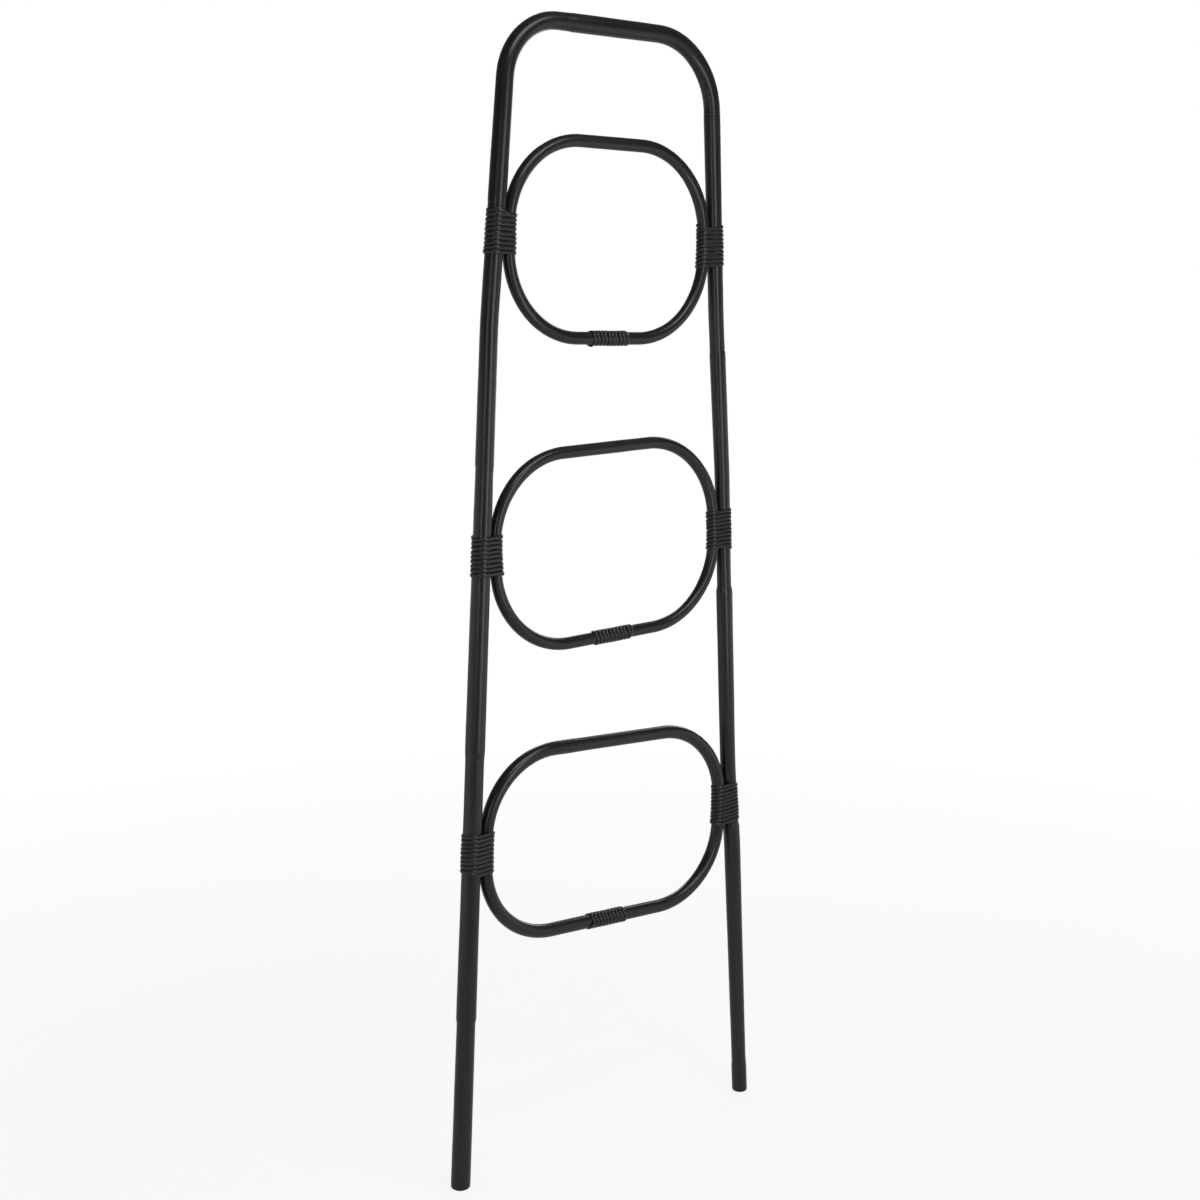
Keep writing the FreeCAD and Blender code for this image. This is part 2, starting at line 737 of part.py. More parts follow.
foot_edges = []
for number, edge in enumerate(hoop_cut.Shape.Edges, start=1):
    if edge.BoundBox.ZMax < size("foot_allowance") / 2 and edge.Length > size("last_internode_radius"):
        foot_edges.append((number, size("foot_round"), size("foot_round")))
hoop = doc.addObject("Part::Fillet", "Hoop")
hoop.Base = hoop_cut
hoop.Edges = foot_edges
pieces["hoop"] = hoop


# --------------------------------------------------------------------------
# Lashings: one strip of split cane each, wound turn by turn
# --------------------------------------------------------------------------
def belt_corners(first, second, span):
    """Corners of one turn, round one or two circles, as (angle, radius, centre offset).

    The flats of the turn all touch a circle, so its corners lie outside by one
    over the cosine of half the angle between two flats.  Round two circles, two
    of the flats are the straight runs between them.
    """
    if second is None:
        count = FACETS_ON_RAIL + FACETS_ON_RING
        step = 2 * math.pi / count
        return [((k + 0.5) * step, first / math.cos(step / 2), 0.0) for k in range(count)]
    leaving = math.acos((first - second) / span)
    corners = []
    step = (2 * math.pi - 2 * leaving) / FACETS_ON_RAIL
    for k in range(FACETS_ON_RAIL):
        corners.append((leaving + (k + 0.5) * step, first / math.cos(step / 2), 0.0))
    step = 2 * leaving / FACETS_ON_RING
    for k in range(FACETS_ON_RING):
        corners.append((-leaving + (k + 0.5) * step, second / math.cos(step / 2), span))
    return corners


class Frame:
    """Directions of a lashing: along the cane, towards the other cane, and round the back."""

    def __init__(self, origin, along, towards):
        self.origin = origin
        self.along = along
        self.towards = towards
        self.back = towards.cross(along) * -1

    def place(self, across, depth_back, level):
        return (
            self.origin + self.towards * across + self.back * depth_back + self.along * level
        )


def strip_sections(frame, turns, pitch, circles_at):
    """Sections of the strip, at the corners of every turn.

    circles_at(level) gives the radius of the first cane, that of the second and
    the span between them; both radii already hold the strip's clearance.
    """
    per_turn = FACETS_ON_RAIL + FACETS_ON_RING
    total = turns * per_turn
    wide = size("strip_width") / 2
    crown = size("strip_crown") / 2
    sections = []
    middles = []
    for index in range(total + 1):
        level = pitch * (index - total / 2) / per_turn
        corners = belt_corners(*circles_at(level))
        angle, reach, offset = corners[index % per_turn]
        count = FACETS_ON_RAIL if offset == 0.0 else FACETS_ON_RING
        outer = reach * (1 + size("strip_thickness") / (reach * math.cos(math.pi / (2 * count))))
        ring_corners = []
        for radius, half in ((reach, -wide), (reach, wide), (outer, crown), (outer, -crown)):
            across = offset + radius * math.cos(angle)
            ring_corners.append(frame.place(across, radius * math.sin(angle), level + half))
        sections.append(ring_corners)
        middles.append((ring_corners[0] + ring_corners[1]) * 0.5)
    return sections, middles


def least_gap(middles, per_turn):
    """Least gap of a strip to itself, on points along neighbouring turns."""
    fine = []
    for a, b in zip(middles, middles[1:]):
        fine += [a, (a + b) * 0.5]
    half_turn = per_turn
    nearest = min(
        (fine[i] - fine[j]).Length
        for i in range(len(fine))
        for j in range(i + half_turn, min(len(fine), i + 3 * half_turn))
    )
    return nearest - size("strip_width")


def flat(*corners):
    """A flat face through its corners."""
    return Part.Face(Part.makePolygon(list(corners) + [corners[0]]))


def strip_solid(sections):
    """The strip between its sections: flat on the canes, flat outside, bevelled between."""
    faces = [flat(*sections[0]), flat(*reversed(sections[-1]))]
    for (a, b, c, d), (e, f, g, h) in zip(sections, sections[1:]):
        faces += [flat(a, e, f, b), flat(d, c, g, h)]
        faces += [flat(b, f, g), flat(b, g, c), flat(a, d, h), flat(a, h, e)]
    solid = Part.Solid(Part.Shell(faces))
    if solid.Volume < 0:
        solid.reverse()
    return solid


def lashing(name, frame, turns, pitch, circles_at):
    """The whole strip, wound without a break."""
    sections, middles = strip_sections(frame, turns, pitch, circles_at)
    strip = doc.addObject("Part::Feature", name)
    strip.Shape = strip_solid(sections)
    gap = least_gap(middles, FACETS_ON_RAIL + FACETS_ON_RING)
    length = sum((b - a).Length for a, b in zip(middles, middles[1:]))
    print("%s: %d turns, %.0f mm of strip, least gap to itself %.2f mm" % (name, turns, length, gap))
    pieces[name] = strip


clearance = size("strip_clearance")
for name, ring in rings.items():
    for side in SIDES:
        level = ring.level + size("%s_%s_lashing" % (side, name))
        where, heading, _ = rail_at(side, level)
        inward = square_to(heading, side) * -1

        def round_both(along, side=side, ring=ring, where=where, heading=heading, inward=inward):
            origin = where + heading * along
            rail_radius = rail_at(side, origin.z)[2]
            span = ring.distance_from(origin, inward, SIDES[side])
            return rail_radius + clearance, ring.cane + clearance, span

        lashing(
            "lashing_%s_%s" % (name, side), Frame(where, heading, inward),
            LEFT_TURNS if side == "left" else RIGHT_TURNS, size(side + "_pitch"), round_both,
        )

    def round_scarf(along, ring=ring):
        return ring.cane + clearance, None, 0.0

    lashing(
        "lashing_%s_scarf" % name, Frame(ring.place(0, -ring.half_height), ring.across, ring.upward),
        SCARF_TURNS, size("scarf_pitch"), round_scarf,
    )

# --------------------------------------------------------------------------
# Check every piece, then write it
# --------------------------------------------------------------------------
for name, piece in pieces.items():
    piece.Label = name
doc.recompute()
for item in doc.Objects:
    if "Invalid" in item.State or "Error" in item.State:
        raise RuntimeError("%s did not build" % item.Label)
os.makedirs("parts", exist_ok=True)
for name, piece in pieces.items():
    shape = piece.Shape
    if shape.isNull() or not shape.isValid():
        raise RuntimeError("%s has no valid shape" % name)
    if len(shape.Solids) != 1:
        raise RuntimeError("%s is %d solids" % (name, len(shape.Solids)))
    shape.exportStep("parts/%s.step" % name)
    print("%-24s %10.1f mm3  %4d faces" % (name, shape.Volume, len(shape.Faces)))
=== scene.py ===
"""Dresses the rattan blanket ladder: painted canes, wound lashings, studio.

Every length below is in metres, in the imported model's own frame: X to the right,
Y away from the viewer, Z up, with the origin on the floor between the feet.
"""
import math

import bpy
import numpy as np
from bpy.props import (
    FloatProperty, FloatVectorProperty, PointerProperty,
)
from mathutils import Matrix, Vector

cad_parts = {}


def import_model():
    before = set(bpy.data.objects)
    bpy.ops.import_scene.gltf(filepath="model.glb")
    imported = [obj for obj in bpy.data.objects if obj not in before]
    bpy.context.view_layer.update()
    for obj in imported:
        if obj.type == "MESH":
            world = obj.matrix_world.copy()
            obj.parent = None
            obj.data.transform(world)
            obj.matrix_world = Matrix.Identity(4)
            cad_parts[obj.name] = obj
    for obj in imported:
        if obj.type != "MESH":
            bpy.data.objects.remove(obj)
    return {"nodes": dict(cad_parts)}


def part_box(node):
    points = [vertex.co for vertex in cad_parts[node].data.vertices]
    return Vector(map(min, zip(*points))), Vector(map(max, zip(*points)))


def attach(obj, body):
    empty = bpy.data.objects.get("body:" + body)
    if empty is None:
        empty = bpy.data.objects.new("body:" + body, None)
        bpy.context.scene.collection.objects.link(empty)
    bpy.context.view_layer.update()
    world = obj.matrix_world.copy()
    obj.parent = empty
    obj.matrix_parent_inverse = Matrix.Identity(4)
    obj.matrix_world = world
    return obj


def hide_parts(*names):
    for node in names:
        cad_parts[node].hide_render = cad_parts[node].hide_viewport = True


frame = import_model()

bl_info = {
    "name": "Rattan Blanket Ladder",
    "version": (1, 0, 0),
    "blender": (4, 5, 0),
    "location": "3D View > Sidebar > Ladder",
    "description": "Builds the canes, the lashings and the studio of a rattan blanket ladder",
    "category": "Object",
}

MM = 0.001
RINGS = ("top", "middle", "bottom")
SIDES = ("left", "right")
BACK = np.array((0.0, 1.0, 0.0))
TWO_PI = 2 * math.pi

# A bend that turns by less than this is a slight set, and any other is a corner.
CORNER_TURN = math.radians(45)

# How finely the canes are drawn: points round a section, rows along the cane,
# and the closer rows on both sides of a cane node.
HOOP_SIDES, RING_SIDES = 64, 48
HOOP_ROW, RING_ROW = 6 * MM, 5 * MM
NODE_REACH, NODE_ROW = 12 * MM, 0.7 * MM
FOOT_EDGE_ROWS, FOOT_DISC_ROWS = 8, 5

# A cane node: its swelling's and its scar's half widths, and how far the scar runs askew.
SWELL_WIDTH, SCAR_WIDTH, SCAR_ASKEW = 5 * MM, 0.8 * MM, 1.1 * MM

# The hoop near a foot, and how fast its oval section turns, in radians per metre.
LEVEL_ZONE = 60 * MM
OVAL_TURN = 9

# The rings' cane: its oval, steps, scars and unevenness, and its nodes as shares of
# the way round from the middle of the bottom run.
RING_OVAL = 0.012
RING_SHOULDER, RING_STEP = 10 * MM, 0.35 * MM
RING_SCAR, RING_WAVINESS = 0.2 * MM, 0.08 * MM
RING_NODES = ((0.29, 0.62, 0.86), (0.17, 0.47, 0.79), (0.24, 0.55, 0.84))

# Slow waves, each an amplitude, a wavelength and a phase: the hoop's unevenness by
# metres along it, and a lashing's wander by turns.
HOOP_WAVES = ((0.5, 0.171, 0.3), (0.3, 0.083, 1.9), (0.2, 0.047, 4.0))
WANDER_WAVES = ((0.5, 2.7, 0.4), (0.35, 1.37, 2.0), (0.25, 0.61, 4.4))

# A lashing: points in each turn, the stretch of a turn in which an end is tucked, the
# stretch in which it narrows, and how far a tucked end moves inwards and outwards.
TURN_POINTS = 56
TUCK_FROM, TUCK_TO, TIP_TO = 0.02, 0.16, 0.05
TUCK_SHIFT, TUCK_RISE = 0.75, 0.8

RAIL_SAMPLES = 4000
SPAN_ROUNDS = 12

PAINT_RELIEF, STEEL_RELIEF = 0.4 * MM, 0.1 * MM
DULL_STEEL = (0.36, 0.35, 0.34)

SENSOR_WIDTH = 36.0
FAR_CLIP = 100.0
AIM_HEIGHT = 1.1
FLOOR_RINGS, FLOOR_SIDES = 32, 96

# Each lamp: its name, its bearing from the camera's line in degrees, its distance
# and height, its own width and height, and the setting that holds its power.
SOFTBOXES = (
    ("softbox_high", 36.0, 1.6, 3.15, (2.0, 0.6), "high_light"),
    ("softbox_tall", 37.0, 1.14, 1.15, (0.38, 1.4), "tall_light"),
    ("softbox_left", -17.0, 2.6, 1.2, (0.4, 1.3), "left_light"),
    ("card_right", 88.0, 1.6, 0.7, (1.6, 1.3), "fill_light"),
    ("card_left", -65.0, 1.6, 0.7, (1.6, 1.3), "fill_light"),
    ("softbox_back_left", -168.0, 2.0, 1.5, (0.5, 1.8), "back_light"),
    ("softbox_back_right", 158.0, 2.0, 1.5, (0.5, 1.8), "back_light"),
)


def length(name, millimetres, description):
    """A length that a user can change, given in millimetres."""
    return FloatProperty(
        name=name, description=description, default=millimetres * MM,
        unit="LENGTH", precision=4,
    )


def lengths(name, millimetres, description):
    """Several lengths that a user can change, given in millimetres."""
    return FloatVectorProperty(
        name=name, description=description, size=len(millimetres),
        default=[value * MM for value in millimetres], unit="LENGTH", precision=4,
    )


def share(name, value, description):
    """A plain number that a user can change."""
    return FloatProperty(name=name, description=description, default=value, precision=3)


def colour(name, value, description):
    """A colour that a user can change."""
    return FloatVectorProperty(
        name=name, description=description, size=3, subtype="COLOR", default=value,
        min=0.0, max=1.0, precision=4,
    )


# ---------------------------------------------------------------------------
# Sizes
# ---------------------------------------------------------------------------
class HoopSizes(bpy.types.PropertyGroup):
    """The long cane that is bent into the two rails and the top bar."""

    foot_reaches: lengths(
        "Feet", (-290.6, 291.5), "Centre of the left and right foot, at the floor")
    left_set: lengths(
        "Left set", (-225.0, 1325.0), "Reach and height of the left rail's slight set")
    left_corner: lengths(
        "Left corner", (-187.1, 1761.4), "Reach and height of the top left corner")
    right_corner: lengths(
        "Right corner", (195.0, 1756.0), "Reach and height of the top right corner")
    right_set_reaches: lengths(
        "Right sets", (213.7, 231.1, 252.9, 265.1), "Reaches of the right rail's slight sets")
    right_set_heights: lengths(
        "Their heights", (1335.0, 1080.0, 590.0, 455.0), "Heights of the right rail's slight sets")
    corner_radii: lengths(
        "Corner radii", (94.0, 113.0), "Bends at the top left and right corners")
    set_radius: length("Set radius", 1200.0, "Radius of the rails' slight sets")
    internodes: lengths(
        "Internodes", (265, 416, 432, 384, 338, 347, 366, 384, 407, 435),
        "Lengths between the cane nodes, from the left foot")
    radii: lengths(
        "Radii", (14.7, 14.9, 14.35, 13.8, 13.4, 13.5, 12.9, 12.45, 13.0, 13.0, 13.0),
        "Mean radius of each internode, from the left foot")
    taper: share("Taper", 0.0034, "Radius lost along each internode, per unit of length")
    shoulder: length("Shoulder", 10.0, "Length of the step past each cane node")
    foot_round: length("Foot round", 4.0, "Rounded edge of each foot")
    node_swell: length("Node swell", 0.35, "How far a cane node stands proud")
    scar_depth: length("Scar depth", 0.22, "Depth of the leaf scar round a cane node")
    out_of_round: share("Out of round", 0.012, "How oval the cane is, as a share of its radius")
    waviness: length("Waviness", 0.12, "Slow unevenness left by scraping the cane")


class RingSizes(bpy.types.PropertyGroup):
    """The three canes that are bent into rounded rings."""

    heights: lengths(
        "Heights", (290.4, 295.0, 292.4), "Centre line from bottom to top, of each ring")
    corners: lengths(
        "Corner radii", (128.3, 130.8, 125.5), "Bend at the corners of each ring")
    cane: lengths("Cane", (9.6, 9.35, 10.6), "Radius of the cane of each ring, from the top")
    tilts: FloatVectorProperty(
        name="Tilts", description="Tilt of each ring, right side up, from the top", size=3,
        subtype="EULER", default=[math.radians(a) for a in (-1.0, 2.3, -1.8)])
    node_swell: length("Node swell", 0.3, "How far a cane node stands proud")


class LashingSizes(bpy.types.PropertyGroup):
    """The split cane that is wound round every joint."""

    strip_cover: share("Strip cover", 0.95, "Width of the split cane, as a share of the pitch")
    strip_crown: length("Strip crown", 2.1, "Thickness of the split cane at its crown")
    seat: length("Seat", 0.12, "Between the strip and the canes under it")
    side_pitches: lengths("Side pitches", (6.7, 6.3), "From turn to turn, left and right")
    scarf_pitch: length("Scarf pitch", 7.0, "From turn to turn on a scarf")
    side_turns: FloatVectorProperty(
        name="Side turns", description="Turns of the lashings on the left and right rail", size=2,
        default=(9.5, 10.5))
    scarf_turns: share("Scarf turns", 10.5, "Turns of each lashing on a scarf")
    left_middles: lengths(
        "Left middles", (11.0, -1.3, 9.1),
        "Middles of the left lashings, above the rings' centres")
    right_middles: lengths(
        "Right middles", (-3.0, 3.7, 4.1),
        "Middles of the right lashings, above the rings' centres")
    unevenness: length("Unevenness", 0.45, "How far a turn wanders along the joint")


class Finishes(bpy.types.PropertyGroup):
    """Paint and metal."""

    paint: colour("Paint", (0.0070, 0.0051, 0.0055), "Black paint on the canes")
    binding_paint: colour(
        "Binding paint", (0.0062, 0.0046, 0.0050), "Black paint on the lashings")
    # On the canes this colour is paint rubbed thin at random. On the lashings it is each strip's
    # lighter crown, above the painted shade in the grooves between turns.
    rubbed_paint_and_lit_crown: colour("Rubbed paint", (0.0135, 0.0102, 0.0098), "Where the paint is thinnest")
    steel: colour("Steel", (0.45, 0.44, 0.42), "Screws and brads")
    paint_gloss: share("Paint roughness", 0.29, "Roughness of the satin paint")
    specular: share("Paint specular", 0.42, "Specular level of the satin paint")


class Studio(bpy.types.PropertyGroup):
    """Camera, lamps, world and floor."""

    lens: FloatProperty(
        name="Lens", description="Focal length", default=55.5 * MM, unit="CAMERA", precision=3)
    target: lengths("Target", (-2.1, 0.0, 880.0), "The point that the camera circles")
    offset: lengths(
        "Offset", (13.6, 2899.3, -14.7), "Target from the camera: right, ahead and up")
    turn: FloatVectorProperty(
        name="Turn", description="Camera's yaw, pitch and roll", size=3, subtype="EULER",
        default=[math.radians(a) for a in (37.91, 9.56, 0.15)])
    floor_radius: length("Floor radius", 14000.0, "Radius of the floor")
    floor_fade: lengths(
        "Floor fade", (900.0, 2600.0), "Where the floor turns to plain white")
    room_fade: lengths(
        "Room fade", (3000.0, 7000.0), "Where the floor's reflection turns to the room's")
    floor: colour("Floor", (0.68, 0.68, 0.68), "Pale floor")
    floor_veil: share(
        "Floor veil", 0.85, "How far the near floor already looks plain white")
    world_light: share("World light", 0.4, "Strength of the light from all round")
    room: share(
        "Room", 0.10, "How bright the room over and behind the camera looks in the paint")
    high_light: share(
        "High softbox", 26.0, "Power of the wide softbox high before the ladder, in watts")
    tall_light: share(
        "Tall softbox", 6.2, "Power of the tall softbox before the ladder, in watts")
    left_light: share(
        "Left softbox", 6.0, "Power of the softbox beside the camera, in watts")
    fill_light: share(
        "Fill cards", 3.7, "Power of each wide, low card at the sides, in watts")
    back_light: share(
        "Back softboxes", 9.0, "Power of each softbox behind the ladder, in watts")


def sizes():
    """The scene's own copy of every group of sizes."""
    return bpy.context.scene.ladder


class Ladder(bpy.types.PropertyGroup):
    """All the sizes and colours of the ladder."""

    hoop: PointerProperty(type=HoopSizes)
    rings: PointerProperty(type=RingSizes)
    lashings: PointerProperty(type=LashingSizes)
    finishes: PointerProperty(type=Finishes)
    studio: PointerProperty(type=Studio)


# ---------------------------------------------------------------------------
# Centre lines and skins, worked out with numpy
# ---------------------------------------------------------------------------
class CentreLine:
    """Straight runs joined by tangent bends, in the plane Y = 0.

    A corner that turns by an angle a at radius r starts r tan(a / 2) before its
    apex.  Along a bend the place is its centre plus r times a turning unit
    vector, and along a run it is the run's start plus the distance.
    """

    def __init__(self, corners, radii):
        corners = np.asarray(corners, float)
        legs = corners[1:] - corners[:-1]
        units = legs / np.linalg.norm(legs, axis=1)[:, None]
        cross = units[:-1, 0] * units[1:, 1] - units[:-1, 1] * units[1:, 0]
        turns = np.arctan2(cross, (units[:-1] * units[1:]).sum(axis=1))
        radii = np.asarray(radii, float)
        reach = radii * np.tan(abs(turns) / 2)
        begins = np.vstack([corners[:1], corners[1:-1] + units[1:] * reach[:, None]])
        ends = np.vstack([corners[1:-1] - units[:-1] * reach[:, None], corners[-1:]])
        run_lengths = np.linalg.norm(ends - begins, axis=1)
        bend_lengths = radii * abs(turns)
        count = len(run_lengths) + len(bend_lengths)
        self.starts = np.empty((count, 2))
        self.starts[0::2], self.starts[1::2] = begins, ends[:-1]
        self.headings = np.arctan2(units[:, 1], units[:, 0]).repeat(2)[:count]
        self.lengths = np.empty(count)
        self.lengths[0::2], self.lengths[1::2] = run_lengths, bend_lengths
        self.curvature = np.zeros(count)
        self.curvature[1::2] = np.sign(turns) / radii
        self.edges = np.concatenate([[0.0], self.lengths.cumsum()])
        self.length = self.edges[-1]
        turned = abs(self.curvature) * self.lengths
        straight = np.where(turned < CORNER_TURN, self.lengths, 0.0)
        self.straight_edges = np.concatenate([[0.0], straight.cumsum()])

    def at(self, distance):
        """Places and unit headings, as rows of X, Y, Z, at an array of distances."""
        distance = np.asarray(distance, float)
        piece = np.searchsorted(self.edges, distance, side="right") - 1
        piece = np.clip(piece, 0, len(self.lengths) - 1)
        along = distance - self.edges[piece]
        bend = self.curvature[piece]
        first = self.headings[piece]
        angle = first + bend * along
        tight = np.where(bend == 0, 1.0, bend)
        curved_x = (np.sin(angle) - np.sin(first)) / tight
        curved_z = (np.cos(first) - np.cos(angle)) / tight
        x = self.starts[piece, 0] + np.where(bend == 0, np.cos(first) * along, curved_x)
        z = self.starts[piece, 1] + np.where(bend == 0, np.sin(first) * along, curved_z)
        nil = np.zeros_like(x)
        headings = np.stack([np.cos(angle), nil, np.sin(angle)], axis=-1)
        return np.stack([x, nil, z], axis=-1), headings

    def straight_before(self, distance):
        """How much of the cane before a distance lies outside its corners."""
        return np.interp(distance, self.edges, self.straight_edges)


def smooth(edge0, edge1, value):
    """0 before edge0, 1 past edge1, and a cubic ease between them."""
    t = np.clip((value - edge0) / (edge1 - edge0), 0.0, 1.0)
    return t * t * (3 - 2 * t)


def ripple(value, waves):
    """A sum of sines: each wave is an amplitude, a wavelength and a phase."""
    return sum(a * np.sin(TWO_PI * value / w + p) for a, w, p in waves)


def skin(name, grid, grain, wrap_rows=False, poles=False):
    """A mesh object over a grid of points, closed round its columns.

    grid[i, j] is the surface at row i, column j.  Rows wrap for a closed ring, or
    each end gets a pole at its row's middle.  grain[i, j] goes with each point,
    as the cane's own coordinates: distance along it, then the place across it.
    """
    rows, columns = grid.shape[:2]
    points, marks = grid.reshape(-1, 3), grain.reshape(-1, 3)
    i = np.arange(rows if wrap_rows else rows - 1)[:, None]
    j = np.arange(columns)[None, :]
    upper, beside = (i + 1) % rows, (j + 1) % columns
    lower, upper = i * columns, upper * columns
    corners = np.broadcast_arrays(lower + j, lower + beside, upper + beside, upper + j)
    quads = np.stack(corners, axis=-1).reshape(-1, 4)
    fans = np.empty((0, 3), int)
    if poles:
        tips = np.stack([grid[0].mean(axis=0), grid[-1].mean(axis=0)])
        points = np.vstack([points, tips])
        marks = np.vstack([marks, grain[0].mean(axis=0), grain[-1].mean(axis=0)])
        ring, after = np.arange(columns), (np.arange(columns) + 1) % columns
        last = (rows - 1) * columns
        tip = np.full(columns, rows * columns)
        fans = np.vstack([
            np.stack([tip, after, ring], axis=-1),
            np.stack([tip + 1, last + ring, last + after], axis=-1),
        ])
    triangles = np.vstack([quads[:, [0, 1, 2]], quads[:, [0, 2, 3]], fans])
    a, b, c = (points[triangles[:, k]] for k in range(3))
    if (a * np.cross(b, c)).sum() < 0:
        quads, fans = quads[:, ::-1], fans[:, ::-1]
    mesh = bpy.data.meshes.new(name)
    mesh.from_pydata(points.tolist(), [], quads.tolist() + fans.tolist())
    mesh.polygons.foreach_set("use_smooth", np.ones(len(mesh.polygons), bool))
    layer = mesh.attributes.new("grain", "FLOAT_VECTOR", "POINT")
    layer.data.foreach_set("vector", np.ascontiguousarray(marks, np.float32).ravel())
    mesh.update()
    piece = bpy.data.objects.new(name, mesh)
    bpy.context.collection.objects.link(piece)
    return piece


def full_turn(sides):
    """Equal angles, once round."""
    return np.arange(sides) * TWO_PI / sides


def round_grid(places, headings, radii, angle, shift=None):
    """Round sections carried along a line in the plane Y = 0.

    The point at angle t of a section is its middle, plus radius times
    (cos t times the sideways direction + sin t times Y).  shift moves each
    point by what it makes of the point's offset from the middle.
    """
    sideways = np.stack([-headings[:, 2], headings[:, 1], headings[:, 0]], axis=-1)
    spoke = np.cos(angle)[None, :, None] * sideways[:, None, :]
    spoke = spoke + np.sin(angle)[None, :, None] * BACK
    offset = spoke * radii[:, :, None]
    grid = places[:, None, :] + offset
    return grid if shift is None else grid + shift(offset)


def hoop_line():
    """The hoop's centre line, from the left foot to the right one."""
    hoop = sizes().hoop
    feet = hoop.foot_reaches
    right_sets = list(zip(hoop.right_set_reaches, hoop.right_set_heights))
    corners = [(feet[0], 0.0), tuple(hoop.left_set), tuple(hoop.left_corner)]
    corners += [tuple(hoop.right_corner)] + right_sets + [(feet[1], 0.0)]
    radii = [hoop.set_radius, *hoop.corner_radii] + [hoop.set_radius] * len(right_sets)
    return CentreLine(corners, radii)


def hoop_radius(line, distance):
    """The cane's radius: each internode tapers, and steps up past its node.

    Within an internode the radius is its mean plus the taper times the distance
    to the internode's middle, in which the hoop's two corners don't count.
    """
    hoop = sizes().hoop
    nodes = np.cumsum(hoop.internodes)
    begins = np.concatenate([[0.0], nodes])
    ends = np.concatenate([nodes, [line.length]])
    mean = np.array(hoop.radii)
    middle = (line.straight_before(begins) + line.straight_before(ends)) / 2

    def plain(index, where):
        return mean[index] + hoop.taper * (middle[index] - line.straight_before(where))

    index = np.searchsorted(nodes, distance, side="right")
    node = nodes[np.maximum(index - 1, 0)]
    before = plain(np.maximum(index - 1, 0), node)
    step = np.where(index > 0, smooth(0.0, hoop.shoulder, distance - node), 1.0)
    return before * (1 - step) + plain(index, distance) * step


def cane_detail(distance, angle, nodes, swell, scar):
    """What a cane's skin adds to its radius, in rows of distance and columns of angle.

    Each node is a low swelling, exp(-(d / 5 mm)^2) high, with a leaf scar as a
    fine groove, exp(-(d / 0.8 mm)^2) deep.  Both run a little askew round the cane.
    """
    d = distance[:, None]
    t = angle[None, :]
    extra = np.zeros((len(distance), len(angle)))
    for number, node in enumerate(nodes):
        askew = SCAR_ASKEW * np.cos(t - 2.1 * number)
        away = d - node - askew
        side = 0.65 + 0.35 * np.cos(t - 1.3 * number - 0.6)
        extra += swell * side * np.exp(-((away / SWELL_WIDTH) ** 2))
        extra -= scar * np.exp(-((away / SCAR_WIDTH) ** 2))
    return extra


def rows_along(start, end, spacing, nodes):
    """Distances from start to end, evenly spaced, and closer near each cane node."""
    rows = [np.arange(start, end, spacing)]
    rows += [np.arange(node - NODE_REACH, node + NODE_REACH, NODE_ROW) for node in nodes]
    rows = np.unique(np.round(np.concatenate(rows + [[end]]), 6))
    return rows[(rows >= start) & (rows <= end)]


def hoop_grid():
    """Grid and grain of the whole hoop, with level, round-edged feet.

    Near a foot each section leans over until it is level: its points slide along
    the cane by -z / (heading's z).  The foot's edge is a quarter circle: at angle
    a its radius is r - f + f sin a, and its height f (1 - cos a).
    """
    hoop = sizes().hoop
    line = hoop_line()
    nodes = np.cumsum(hoop.internodes)
    distance = rows_along(hoop.foot_round, line.length - hoop.foot_round, HOOP_ROW, nodes)
    radius = hoop_radius(line, distance)
    arc = np.linspace(0.0, math.pi / 2, FOOT_EDGE_ROWS)[:-1]
    rise = hoop.foot_round * (1 - np.cos(arc))
    inset = hoop.foot_round * (1 - np.sin(arc))
    disc = np.linspace(0.15, 1.0, FOOT_DISC_ROWS)[:-1]
    left_end, right_end = (
        np.concatenate([(r - hoop.foot_round) * disc, r - inset]) for r in (radius[0], radius[-1]))
    lift = np.concatenate([np.zeros(len(disc)), rise])
    distance = np.concatenate([lift, distance, line.length - lift[::-1]])
    radius = np.concatenate([left_end, radius, right_end[::-1]])
    places, headings = line.at(distance)
    from_foot = np.minimum(distance, line.length - distance)
    lean = 1 - smooth(0.4 * LEVEL_ZONE, LEVEL_ZONE, from_foot)
    whole = smooth(hoop.foot_round, 3 * hoop.foot_round, from_foot)
    angle = full_turn(HOOP_SIDES)
    oval = np.cos(2 * angle[None, :] - OVAL_TURN * distance[:, None])
    radii = radius[:, None] * (1 + whole[:, None] * hoop.out_of_round * oval)
    detail = cane_detail(distance, angle, nodes, hoop.node_swell, hoop.scar_depth)
    radii = radii + whole[:, None] * detail
    uneven = ripple(distance[:, None] + 0.02 * np.cos(angle)[None, :], HOOP_WAVES)
    lopsided = (0.7 + 0.3 * np.sin(angle + 1.0))[None, :]
    radii = radii + whole[:, None] * hoop.waviness * uneven * lopsided

    def level(offset):
        rise = np.where(lean > 0, headings[:, 2], 1.0)
        slide = -offset[:, :, 2] * (lean / rise)[:, None]
        return slide[:, :, None] * headings[:, None, :]

    return round_grid(places, headings, radii, angle, level), grain_of(distance, angle, radii)


def grain_of(distance, angle, radii):
    """The cane's own coordinates: distance along it, then the place across it."""
    along = np.broadcast_to(distance[:, None], radii.shape)
    return np.stack([along, radii * np.cos(angle), radii * np.sin(angle)], axis=-1)


